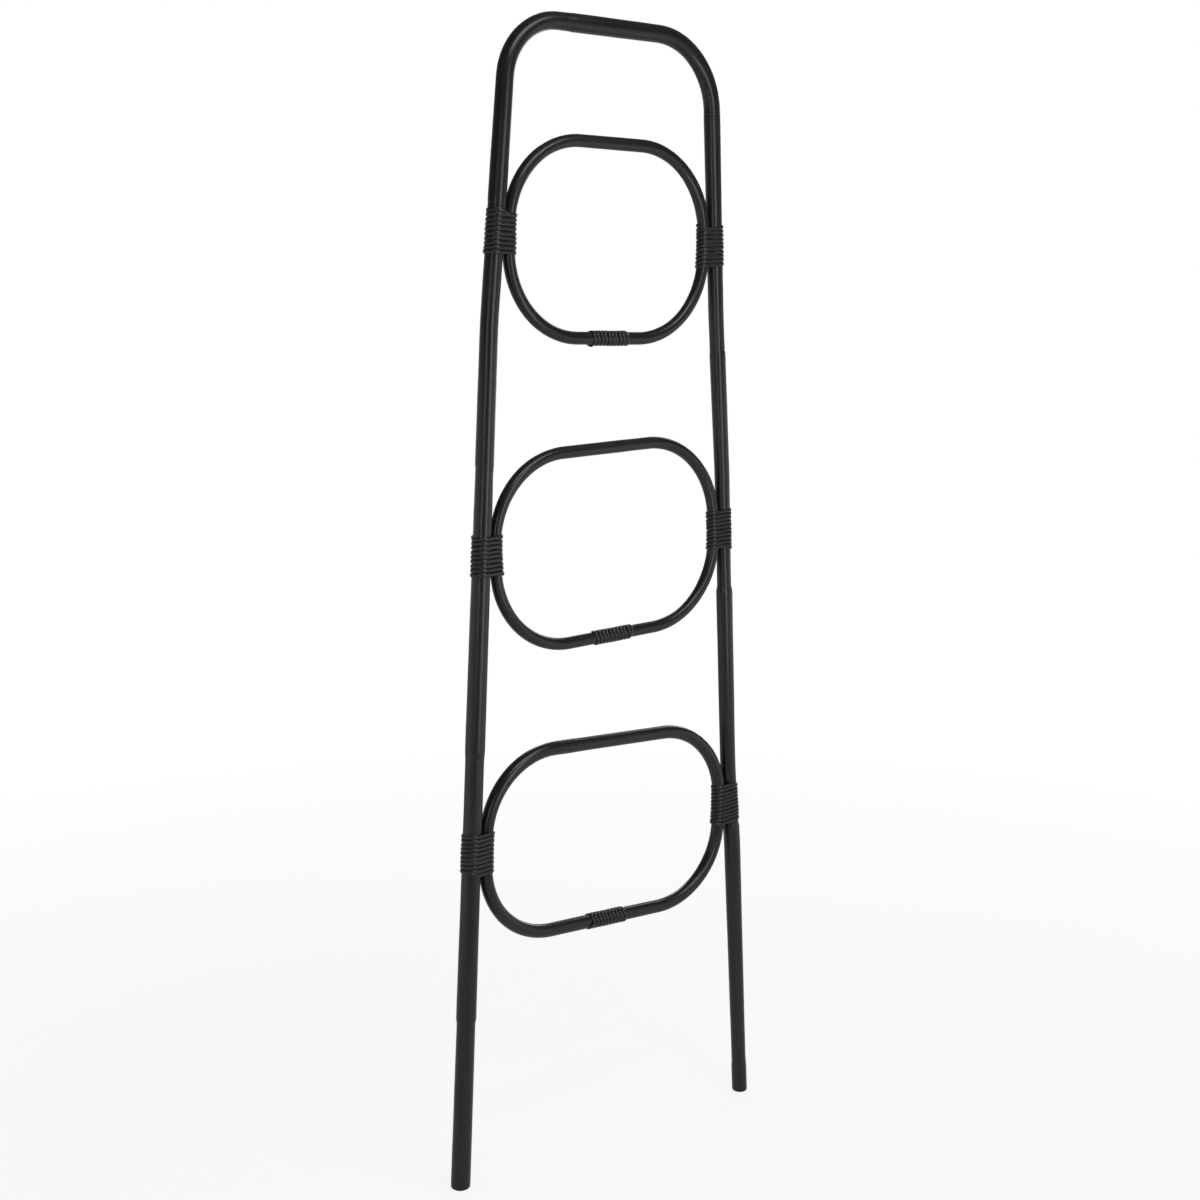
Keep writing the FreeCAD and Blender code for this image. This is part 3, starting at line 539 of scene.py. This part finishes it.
class RingShape:
    """A ring's half sizes, middle and directions, read from its packed box.

    A rounded rectangle tilted by t reaches (a - c) cos t + (b - c) |sin t| + c + r
    sideways, with half width a, half height b, corner radius c and cane radius r.
    """

    def __init__(self, number):
        rings = sizes().rings
        low, high = (np.array(corner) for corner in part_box("ring_" + RINGS[number]))
        self.tilt = rings.tilts[number]
        self.cane = rings.cane[number]
        self.corner = rings.corners[number]
        self.half_height = rings.heights[number] / 2
        sideways = (high[0] - low[0]) / 2 - self.cane - self.corner
        sideways -= (self.half_height - self.corner) * abs(math.sin(self.tilt))
        self.half_width = sideways / math.cos(self.tilt) + self.corner
        self.centre = (low + high) / 2
        self.across = np.array((math.cos(self.tilt), 0.0, math.sin(self.tilt)))
        self.upward = np.array((-math.sin(self.tilt), 0.0, math.cos(self.tilt)))

    def place(self, across, upward):
        """A point given in the ring's own frame."""
        return self.centre + self.across * across + self.upward * upward

    def line(self):
        """Its centre line, from the middle of the bottom run and round to it again."""
        a, b = self.half_width, self.half_height
        corners = [(0, -b), (a, -b), (a, b), (-a, b), (-a, -b), (0, -b)]
        spots = [self.place(across, upward) for across, upward in corners]
        return CentreLine([(spot[0], spot[2]) for spot in spots], [self.corner] * 4)

    def side_reach(self, upward):
        """Half width of the centre line at a height in the ring's own frame."""
        over = np.maximum(0.0, np.abs(upward) - (self.half_height - self.corner))
        return self.half_width - self.corner + np.sqrt(self.corner ** 2 - over ** 2)

    def span_from(self, origins, heading, sign):
        """How far along a heading from each origin the centre line is met.

        Each round moves on by what is still missing, and a few rounds settle it.
        """
        far = np.zeros(len(origins))
        for _ in range(SPAN_ROUNDS):
            offset = origins + heading * far[:, None] - self.centre
            miss = sign * self.side_reach(offset @ self.upward) - offset @ self.across
            far = far + miss / (heading @ self.across)
        return far


def ring_grid(number):
    """Grid and grain of one ring, closed on itself under its lashing.

    Its radius falls slowly from one cane node to the next and steps up there.
    """
    ring = RingShape(number)
    line = ring.line()
    nodes = np.array(RING_NODES[number]) * line.length
    distance = rows_along(0.0, line.length, RING_ROW, nodes)[:-1]
    angle = full_turn(RING_SIDES)
    past = ((distance[:, None] - nodes[None, :]) % line.length).min(axis=1)
    sawtooth = smooth(0.0, RING_SHOULDER, past) * (1 - past / (0.4 * line.length)) - 0.5
    places, headings = line.at(distance)
    oval = np.cos(2 * angle[None, :] + TWO_PI * 2 * distance[:, None] / line.length)
    radii = ring.cane * (1 + RING_OVAL * oval)
    radii = radii + RING_STEP * sawtooth[:, None]
    radii = radii + cane_detail(distance, angle, nodes, sizes().rings.node_swell, RING_SCAR)
    uneven = np.sin(TWO_PI * 5 * distance / line.length + number) + 0.5 * np.sin(
        TWO_PI * 13 * distance / line.length)
    lopsided = (0.7 + 0.3 * np.sin(angle + number))[None, :]
    radii = radii + RING_WAVINESS * uneven[:, None] * lopsided
    return round_grid(places, headings, radii, angle), grain_of(distance, angle, radii)


# ---------------------------------------------------------------------------
# Lashings: a half-round strip wound round one cane, or round two
# ---------------------------------------------------------------------------
def belt(turn, first, second, span):
    """Place and outward direction, both in the plane of a turn, by arc length.

    The belt goes round the first circle, at the origin, along a straight run, round
    the second circle, a span away, and back.  turn counts whole turns.
    """
    leaving = np.arccos((first - second) / span)
    arc_a = first * (TWO_PI - 2 * leaving)
    arc_b = second * 2 * leaving
    run = np.sqrt(span ** 2 - (first - second) ** 2)
    at = (turn % 1.0) * (arc_a + arc_b + 2 * run)
    on_a, on_out, on_b = at < arc_a, at < arc_a + run, at < arc_a + run + arc_b
    angle = np.select(
        [on_a, on_out, on_b],
        [leaving + at / first, -leaving, -leaving + (at - arc_a - run) / second],
        leaving,
    )
    out_share = (at - arc_a) / run
    home_share = 1 - (at - arc_a - run - arc_b) / run
    middle = np.select(
        [on_a, on_out, on_b], [0 * span, out_share * span, span], home_share * span)
    reach = np.select(
        [on_a, on_out, on_b],
        [first, first + (second - first) * out_share, second],
        first + (second - first) * home_share,
    )
    return middle + reach * np.cos(angle), reach * np.sin(angle), angle


def strip_grid(places, outward, along, width, crown):
    """A half-round strip: a flat side on the canes and a crown of half an ellipse.

    At angle p of the crown the strip is -cos(p) half widths along the joint, and
    sin(p) ^ 0.8 crowns off the cane.
    """
    p = np.linspace(0.0, math.pi, 11)
    across = np.concatenate([-np.cos(p) * 0.5, [0.25, -0.25]])
    height = np.concatenate([np.sin(p) ** 0.8, [0.0, 0.0]])
    a = across[None, :] * width[:, None]
    h = height[None, :] * crown[:, None]
    grid = places[:, None, :] + a[:, :, None] * along + h[:, :, None] * outward[:, None, :]
    run = np.concatenate([[0.0], np.linalg.norm(np.diff(places, axis=0), axis=1).cumsum()])
    grain = np.stack([np.broadcast_to(run[:, None], a.shape), a, h], axis=-1)
    return grid, grain


def wound_strip(name, turns, pitch, seed, circles_at, origin, along, towards):
    """One strip, wound turn by turn, with both its ends tucked over the next turn.

    Its level is pitch times the turns from the middle, plus a slow wander.  Over
    its first and last seventh of a turn it climbs most of a strip's thickness and
    moves inwards, and at its very end it narrows to its tip.
    """
    lashings = sizes().lashings
    turn = np.linspace(0.0, turns, int(turns * TURN_POINTS) + 1)
    from_end = np.minimum(turn, turns - turn)
    tuck = 1 - smooth(TUCK_FROM, TUCK_TO, from_end)
    inward = np.where(turn < turns / 2, 1.0, -1.0)
    level = pitch * (turn - turns / 2)
    level = level + lashings.unevenness * ripple(turn + seed, WANDER_WAVES)
    level = level + inward * tuck * TUCK_SHIFT * pitch
    first, second, span = circles_at(level)
    x, y, angle = belt(turn + seed * 0.37, first, second, span)
    back = np.cross(along, towards)
    outward = np.cos(angle)[:, None] * towards + np.sin(angle)[:, None] * back
    places = origin + x[:, None] * towards + y[:, None] * back + level[:, None] * along
    places = places + outward * (tuck * lashings.strip_crown * TUCK_RISE)[:, None]
    tip = smooth(0.0, TIP_TO, from_end)
    width = pitch * lashings.strip_cover * (0.35 + 0.65 * tip)
    width = width * (1 + 0.04 * np.sin(9.1 * turn + seed))
    crown = lashings.strip_crown * (0.25 + 0.75 * tip)
    crown = crown * (1 + 0.07 * np.sin(5.3 * turn + 2 * seed))
    grid, grain = strip_grid(places, outward, along, width, crown)
    return skin(name, grid, grain, poles=True)


def rail_at(line, side, level):
    """A rail's centre, upward heading and distance along the hoop, at a height."""
    half = line.length / 2
    distance = np.linspace(0.0, half, RAIL_SAMPLES) + (0.0 if side == "left" else half)
    heights = line.at(distance)[0][:, 2]
    order = np.argsort(heights)
    at = float(np.interp(level, heights[order], distance[order]))
    place, heading = (row[0] for row in line.at([at]))
    return place, heading * np.sign(heading[2]), at


def side_lashing(number, side):
    """The lashing that holds one side of a ring to its rail."""
    lashings = sizes().lashings
    ring = RingShape(number)
    line = hoop_line()
    which = SIDES.index(side)
    middles = (lashings.left_middles, lashings.right_middles)[which]
    place, along, at = rail_at(line, side, ring.centre[2] + middles[number])
    sign = -1 if side == "left" else 1
    towards = np.array((along[2], 0.0, -along[0])) * -sign
    climb = 1.0 if side == "left" else -1.0

    def circles_at(level):
        rail = hoop_radius(line, at + climb * level) + lashings.seat
        origins = place + level[:, None] * along
        span = ring.span_from(origins, towards, sign)
        return rail, np.full(len(level), ring.cane + lashings.seat), span

    seed = 1.7 * number + (0.0 if side == "left" else 0.9)
    name = "wound_%s_%s" % (RINGS[number], side)
    return wound_strip(
        name, lashings.side_turns[which], lashings.side_pitches[which], seed, circles_at,
        place, along, towards)


def scarf_lashing(number):
    """The lashing that holds a ring's two ends together."""
    lashings = sizes().lashings
    ring = RingShape(number)
    bottom = ring.place(0.0, -ring.half_height)

    def circles_at(level):
        same = np.full(len(level), ring.cane + lashings.seat)
        return same, same, np.full(len(level), 1e-6)

    name = "wound_%s_scarf" % RINGS[number]
    return wound_strip(
        name, lashings.scarf_turns, lashings.scarf_pitch, 0.6 + number, circles_at,
        bottom, ring.across, ring.upward)


# ---------------------------------------------------------------------------
# Materials
# ---------------------------------------------------------------------------
class Link:
    """An output socket that does sums: each operator adds its Math node."""

    def __init__(self, finish, socket):
        self.finish = finish
        self.socket = socket

    def maths(self, operation, left, right):
        """A Math node on two values or links."""
        return self.finish.node(
            "ShaderNodeMath", {"operation": operation}, {0: left, 1: right})

    def __add__(self, other):
        return self.maths("ADD", self, other)

    def __radd__(self, other):
        return self.maths("ADD", other, self)

    def __sub__(self, other):
        return self.maths("SUBTRACT", self, other)

    def __rsub__(self, other):
        return self.maths("SUBTRACT", other, self)

    def __mul__(self, other):
        return self.maths("MULTIPLY", self, other)

    def __rmul__(self, other):
        return self.maths("MULTIPLY", other, self)

    def __pow__(self, other):
        return self.maths("POWER", self, other)


class Finish:
    """A node material, built from expressions."""

    def __init__(self, name, tree=None):
        if tree is None:
            self.material = bpy.data.materials.new(name)
            self.material.use_nodes = True
            tree = self.material.node_tree
        self.tree = tree
        self.tree.nodes.clear()

    def node(self, kind, settings=None, inputs=None, output=0):
        """Adds a node: its settings first, then its inputs' values or links."""
        made = self.tree.nodes.new(kind)
        for name, value in (settings or {}).items():
            if name == "stops":
                for stop, (position, shade) in zip(made.color_ramp.elements, value):
                    stop.position, stop.color = position, shade
            else:
                setattr(made, name, value)
        for name, value in (inputs or {}).items():
            if isinstance(value, Link):
                self.tree.links.new(value.socket, made.inputs[name])
            else:
                made.inputs[name].default_value = value
        return Link(self, made.outputs[output]) if len(made.outputs) else None

    def grain(self):
        """The cane's own coordinates: along it, then across it."""
        return self.node("ShaderNodeAttribute", {"attribute_name": "grain"}, output="Vector")

    def stretched(self, along, across):
        """The cane's own coordinates, scaled along it and across it."""
        return self.node("ShaderNodeVectorMath", {"operation": "MULTIPLY"}, {
            0: self.grain(), 1: (along, across, across)})

    def noise(self, vector, scale, detail):
        """Soft noise from 0 to 1."""
        return self.node("ShaderNodeTexNoise", {}, {
            "Vector": vector, "Scale": scale, "Detail": detail}, output="Fac")

    def part(self, vector, number):
        """One of a vector's three parts."""
        return self.node("ShaderNodeSeparateXYZ", {}, {0: vector}, output=number)

    def ray(self, kind):
        """1 for rays of one kind, and 0 for all others."""
        return self.node("ShaderNodeLightPath", output=kind)

    def ahead(self, direction):
        """1 along the photograph's line of sight, which is fixed, and -1 against it."""
        sight = view_turn().transposed() @ Vector((0.0, 1.0, 0.0))
        return self.node("ShaderNodeVectorMath", {"operation": "DOT_PRODUCT"}, {
            0: direction, 1: tuple(sight)}, output="Value")

    def between(self, amount, first, second):
        """A colour that goes from first to second as amount goes from 0 to 1."""
        return self.node(
            "ShaderNodeMix", {"data_type": "RGBA"},
            {0: amount, 6: (*first, 1.0), 7: (*second, 1.0)}, output=2)

    def ramp(self, amount, low, high):
        """0 below low and 1 above high."""
        return self.node("ShaderNodeMapRange", {"clamp": True}, {
            0: amount, 1: low, 2: high, 3: 0.0, 4: 1.0})

    def satin(self, shade, roughness, strength, height):
        """Satin paint with a fine relief, as the finished material."""
        bump = self.node("ShaderNodeBump", {}, {
            "Strength": strength, "Distance": PAINT_RELIEF, "Height": height})
        return self.done(self.node("ShaderNodeBsdfPrincipled", {}, {
            "Base Color": shade, "Roughness": roughness, "Normal": bump,
            "Specular IOR Level": sizes().finishes.specular,
        }))

    def done(self, shader):
        """Puts a shader on the surface, and gives the finished material."""
        self.node("ShaderNodeOutputMaterial", {}, {"Surface": shader})
        return self.material


def painted_cane():
    """Satin black paint over a cane's fine lengthwise grain."""
    looks = sizes().finishes
    finish = Finish("painted_cane")
    streaks = finish.noise(finish.stretched(5.0, 420.0), 1.0, 3.0)
    flow = finish.noise(finish.stretched(9.0, 50.0), 1.0, 2.0)
    thin = finish.ramp(flow * 0.7 + streaks * 0.3, 0.44, 0.72)
    shade = finish.between(thin, looks.paint, looks.rubbed_paint_and_lit_crown)
    roughness = looks.paint_gloss + (flow - 0.5) * 0.16 + (streaks - 0.5) * 0.12
    return finish.satin(shade, roughness, 0.08, streaks * 0.25 + flow)


def painted_binding():
    """Black paint over split cane: fibres along the strip, and painted shade in the grooves
    between turns, where the strip lies low, with its crown lighter.
    """
    looks = sizes().finishes
    finish = Finish("painted_binding")
    fibres = finish.noise(finish.stretched(30.0, 1500.0), 1.0, 3.0)
    flow = finish.noise(finish.stretched(120.0, 300.0), 1.0, 2.0)
    # Painted shade: the lower a point lies on the strip, down towards the grooves between turns,
    # the darker it is, and its crown is lighter.
    crown = finish.ramp(finish.part(finish.grain(), 2), 0.0006, 0.0020)
    shade = finish.between(crown * (0.35 + 0.65 * flow), looks.binding_paint, looks.rubbed_paint_and_lit_crown)
    roughness = looks.paint_gloss + 0.02 + (flow - 0.5) * 0.2 + (fibres - 0.5) * 0.12
    return finish.satin(shade, roughness, 0.15, fibres * 0.6 + flow * 0.6)


def fixing_steel():
    """Plain zinc-plated steel, turned along its length."""
    finish = Finish("fixing_steel")
    place = finish.node("ShaderNodeTexCoord", {}, {}, output="Object")
    speckle = finish.noise(place, 1800.0, 3.0)
    shade = finish.between(speckle, DULL_STEEL, sizes().finishes.steel)
    bump = finish.node("ShaderNodeBump", {}, {
        "Strength": 0.2, "Distance": STEEL_RELIEF, "Height": speckle})
    shader = finish.node("ShaderNodeBsdfPrincipled", {}, {
        "Base Color": shade, "Metallic": 1.0, "Roughness": 0.3 + speckle * 0.2, "Normal": bump,
    })
    return finish.done(shader)


def finish_with(piece, material):
    """Gives a piece one material in place of any that it has."""
    piece.data.materials.clear()
    piece.data.materials.append(material)


def once(name, make):
    """A material by name, made the first time that it is asked for."""
    return bpy.data.materials.get(name) or make()


# ---------------------------------------------------------------------------
# Operators
# ---------------------------------------------------------------------------
class LADDER_OT_hoop(bpy.types.Operator):
    """Skin the hoop with painted cane"""

    bl_idname = "ladder.hoop"
    bl_label = "Hoop"

    def execute(self, context):
        grid, grain = hoop_grid()
        piece = skin("hoop_cane", grid, grain, poles=True)
        finish_with(piece, once("painted_cane", painted_cane))
        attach(piece, "root")
        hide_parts("hoop")
        return {"FINISHED"}


class LADDER_OT_rings(bpy.types.Operator):
    """Skin the three rings with painted cane"""

    bl_idname = "ladder.rings"
    bl_label = "Rings"

    def execute(self, context):
        for number, name in enumerate(RINGS):
            grid, grain = ring_grid(number)
            piece = skin("ring_cane_" + name, grid, grain, wrap_rows=True)
            finish_with(piece, once("painted_cane", painted_cane))
            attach(piece, "root")
            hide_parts("ring_" + name)
        return {"FINISHED"}


class LADDER_OT_side_lashings(bpy.types.Operator):
    """Wind the lashings that hold the rings to the rails"""

    bl_idname = "ladder.side_lashings"
    bl_label = "Lashings on the rails"

    def execute(self, context):
        for number, name in enumerate(RINGS):
            for side in SIDES:
                piece = side_lashing(number, side)
                finish_with(piece, once("painted_binding", painted_binding))
                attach(piece, "root")
                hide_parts("lashing_%s_%s" % (name, side))
        return {"FINISHED"}


class LADDER_OT_scarf_lashings(bpy.types.Operator):
    """Wind the lashings that hold each ring's two ends together"""

    bl_idname = "ladder.scarf_lashings"
    bl_label = "Lashings on the scarfs"

    def execute(self, context):
        for number, name in enumerate(RINGS):
            piece = scarf_lashing(number)
            finish_with(piece, once("painted_binding", painted_binding))
            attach(piece, "root")
            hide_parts("lashing_%s_scarf" % name)
        return {"FINISHED"}


class LADDER_OT_fixings(bpy.types.Operator):
    """Give the hidden screws and brads their steel"""

    bl_idname = "ladder.fixings"
    bl_label = "Screws and brads"

    def execute(self, context):
        steel = once("fixing_steel", fixing_steel)
        for name, node in frame["nodes"].items():
            if name.startswith(("screw_", "brad_")):
                finish_with(node, steel)
        return {"FINISHED"}


class LADDER_OT_studio(bpy.types.Operator):
    """Set up the camera, the soft lamps, the world and the floor"""

    bl_idname = "ladder.studio"
    bl_label = "Studio"

    def execute(self, context):
        camera()
        softboxes()
        world()
        floor()
        return {"FINISHED"}


# ---------------------------------------------------------------------------
# Studio
# ---------------------------------------------------------------------------
def view_turn():
    """Rotation from the ladder's frame to the camera's right, ahead and up."""
    yaw, pitch, roll = sizes().studio.turn
    tilt = Matrix.Rotation(roll, 3, "Y") @ Matrix.Rotation(pitch, 3, "X")
    return tilt @ Matrix.Rotation(yaw, 3, "Z")


def camera():
    """A camera at the photograph's place."""
    studio = sizes().studio
    data = bpy.data.cameras.new("camera")
    data.sensor_width = SENSOR_WIDTH
    data.lens = studio.lens / MM
    data.clip_end = FAR_CLIP
    eye = bpy.data.objects.new("camera", data)
    bpy.context.collection.objects.link(eye)
    turn = view_turn().transposed()
    eye.matrix_world = (
        Matrix.Translation(Vector(studio.target) - turn @ Vector(studio.offset))
        @ (turn @ Matrix.Rotation(math.pi / 2, 3, "X")).to_4x4()
    )
    bpy.context.scene.camera = eye


def softbox(name, bearing, distance, height, size, power):
    """An area lamp on a bearing from the camera's line, aimed at the ladder."""
    data = bpy.data.lights.new(name, "AREA")
    data.shape = "RECTANGLE"
    data.size, data.size_y = size
    data.energy = power
    lamp = bpy.data.objects.new(name, data)
    lamp.visible_camera = False
    bpy.context.collection.objects.link(lamp)
    yaw = sizes().studio.turn[0]
    angle = math.radians(bearing) - yaw
    spot = Vector((math.sin(angle) * distance, -math.cos(angle) * distance, height))
    aim = Vector((0.0, 0.0, AIM_HEIGHT))
    lamp.matrix_world = (
        Matrix.Translation(spot) @ (aim - spot).to_track_quat("-Z", "Y").to_matrix().to_4x4()
    )


def softboxes():
    """Every lamp of the studio."""
    studio = sizes().studio
    for name, bearing, distance, height, size, power in SOFTBOXES:
        softbox(name, bearing, distance, height, size, getattr(studio, power))


def world():
    """White to the camera, and soft light to matt surfaces.

    Glossy rays see it white along the photograph's line of sight, and see a dim
    room overhead and against it.  Those directions are fixed in the scene.
    """
    studio = sizes().studio
    sky = bpy.data.worlds.new("studio_world")
    sky.use_nodes = True
    bpy.context.scene.world = sky
    finish = Finish("studio_world", sky.node_tree)
    glossy = finish.ray("Is Glossy Ray")
    seen = finish.node("ShaderNodeMath", {"operation": "MAXIMUM"}, {
        0: finish.ray("Is Camera Ray"), 1: finish.ray("Is Transmission Ray")})
    direction = finish.node("ShaderNodeTexCoord", output="Generated")
    overhead = finish.ramp(finish.part(direction, 2), -0.1, 0.2)
    white = finish.ramp(finish.ahead(direction), -0.7, 0.7) ** 1.2 * (1 - 0.9 * overhead)
    backdrop = studio.room + (1 - studio.room) * white
    strength = studio.world_light * (1 - glossy) + backdrop * glossy
    strength = strength * (1 - seen) + seen
    shader = finish.node("ShaderNodeBackground", {}, {"Color": (1, 1, 1, 1), "Strength": strength})
    finish.node("ShaderNodeOutputWorld", {}, {"Surface": shader})


def floor_disc():
    """A flat disc whose rings are spaced by the square of their number."""
    radius = (np.arange(1, FLOOR_RINGS + 1) / FLOOR_RINGS) ** 2 * sizes().studio.floor_radius
    angle = full_turn(FLOOR_SIDES)
    grid = np.stack([
        radius[:, None] * np.cos(angle), radius[:, None] * np.sin(angle),
        np.zeros((FLOOR_RINGS, FLOOR_SIDES)),
    ], axis=-1)
    points = np.vstack([grid.reshape(-1, 3), [[0.0, 0.0, 0.0]]])
    i, j = np.arange(FLOOR_RINGS - 1)[:, None], np.arange(FLOOR_SIDES)[None, :]
    beside = (j + 1) % FLOOR_SIDES
    inner, outer = i * FLOOR_SIDES, (i + 1) * FLOOR_SIDES
    quads = np.stack(np.broadcast_arrays(
        inner + j, outer + j, outer + beside, inner + beside), axis=-1)
    middle = np.full(FLOOR_SIDES, FLOOR_RINGS * FLOOR_SIDES)
    hub = np.stack([middle, j[0], beside[0]], axis=-1)
    mesh = bpy.data.meshes.new("floor")
    mesh.from_pydata(points.tolist(), [], quads.reshape(-1, 4).tolist() + hub.tolist())
    return mesh


def floor():
    """A pale floor that keeps the ladder's shadow near it and fades to white far off.

    To the camera it is veiled in white, more so with distance.  Far off, glossy
    rays see in it what they see in the world.
    """
    studio = sizes().studio
    ground = bpy.data.objects.new("floor", floor_disc())
    bpy.context.collection.objects.link(ground)
    finish = Finish("pale_floor")
    place = finish.node("ShaderNodeTexCoord", {}, {}, output="Object")
    far = finish.node("ShaderNodeVectorMath", {"operation": "LENGTH"}, {0: place}, output="Value")
    heading = finish.node("ShaderNodeVectorMath", {"operation": "NORMALIZE"}, {0: place})
    fade = finish.ramp(far, studio.floor_fade[0], studio.floor_fade[1])
    veil = studio.floor_veil + (1 - studio.floor_veil) * fade
    white = finish.ramp(finish.ahead(heading), -0.4, 0.5)
    room = finish.ramp(far, studio.room_fade[0], studio.room_fade[1])
    glossy = finish.ray("Is Glossy Ray")
    seen = finish.ray("Is Camera Ray") + finish.ray("Is Transmission Ray")
    matt = finish.node("ShaderNodeBsdfDiffuse", {}, {"Color": (*studio.floor, 1.0)})
    shade = finish.between(white + (1 - white) * (1 - glossy), (studio.room,) * 3, (1.0,) * 3)
    glow = finish.node("ShaderNodeEmission", {}, {"Color": shade, "Strength": 1.0})
    shader = finish.node("ShaderNodeMixShader", {}, {
        0: veil * seen + room * glossy, 1: matt, 2: glow})
    finish_with(ground, finish.done(shader))


class LADDER_PT_panel(bpy.types.Panel):
    """Lists the ladder's pieces in the sidebar"""

    bl_idname = "LADDER_PT_panel"
    bl_label = "Blanket ladder"
    bl_space_type = "VIEW_3D"
    bl_region_type = "UI"
    bl_category = "Ladder"

    def draw(self, context):
        ladder = context.scene.ladder
        for operator, group in PIECES:
            box = self.layout.box()
            box.operator(operator.bl_idname)
            values = getattr(ladder, group)
            for name in values.__annotations__:
                box.prop(values, name)


PIECES = (
    (LADDER_OT_hoop, "hoop"),
    (LADDER_OT_rings, "rings"),
    (LADDER_OT_side_lashings, "lashings"),
    (LADDER_OT_scarf_lashings, "lashings"),
    (LADDER_OT_fixings, "finishes"),
    (LADDER_OT_studio, "studio"),
)
GROUPS = (HoopSizes, RingSizes, LashingSizes, Finishes, Studio, Ladder)


def register():
    """Registers every class, and hangs the sizes on the scene."""
    for group in GROUPS:
        bpy.utils.register_class(group)
    for operator, _ in PIECES:
        bpy.utils.register_class(operator)
    bpy.utils.register_class(LADDER_PT_panel)
    bpy.types.Scene.ladder = PointerProperty(type=Ladder)


def unregister():
    """Takes back what register does, in the opposite order."""
    del bpy.types.Scene.ladder
    bpy.utils.unregister_class(LADDER_PT_panel)
    for operator, _ in reversed(PIECES):
        bpy.utils.unregister_class(operator)
    for group in reversed(GROUPS):
        bpy.utils.unregister_class(group)


def main():
    """Builds every piece in order."""
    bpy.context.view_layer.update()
    register()
    for operator, _ in PIECES:
        family, name = operator.bl_idname.split(".")
        getattr(getattr(bpy.ops, family), name)()
    bpy.context.scene.view_settings.view_transform = "Standard"
    bpy.context.view_layer.update()


if __name__ == "__main__":
    main()
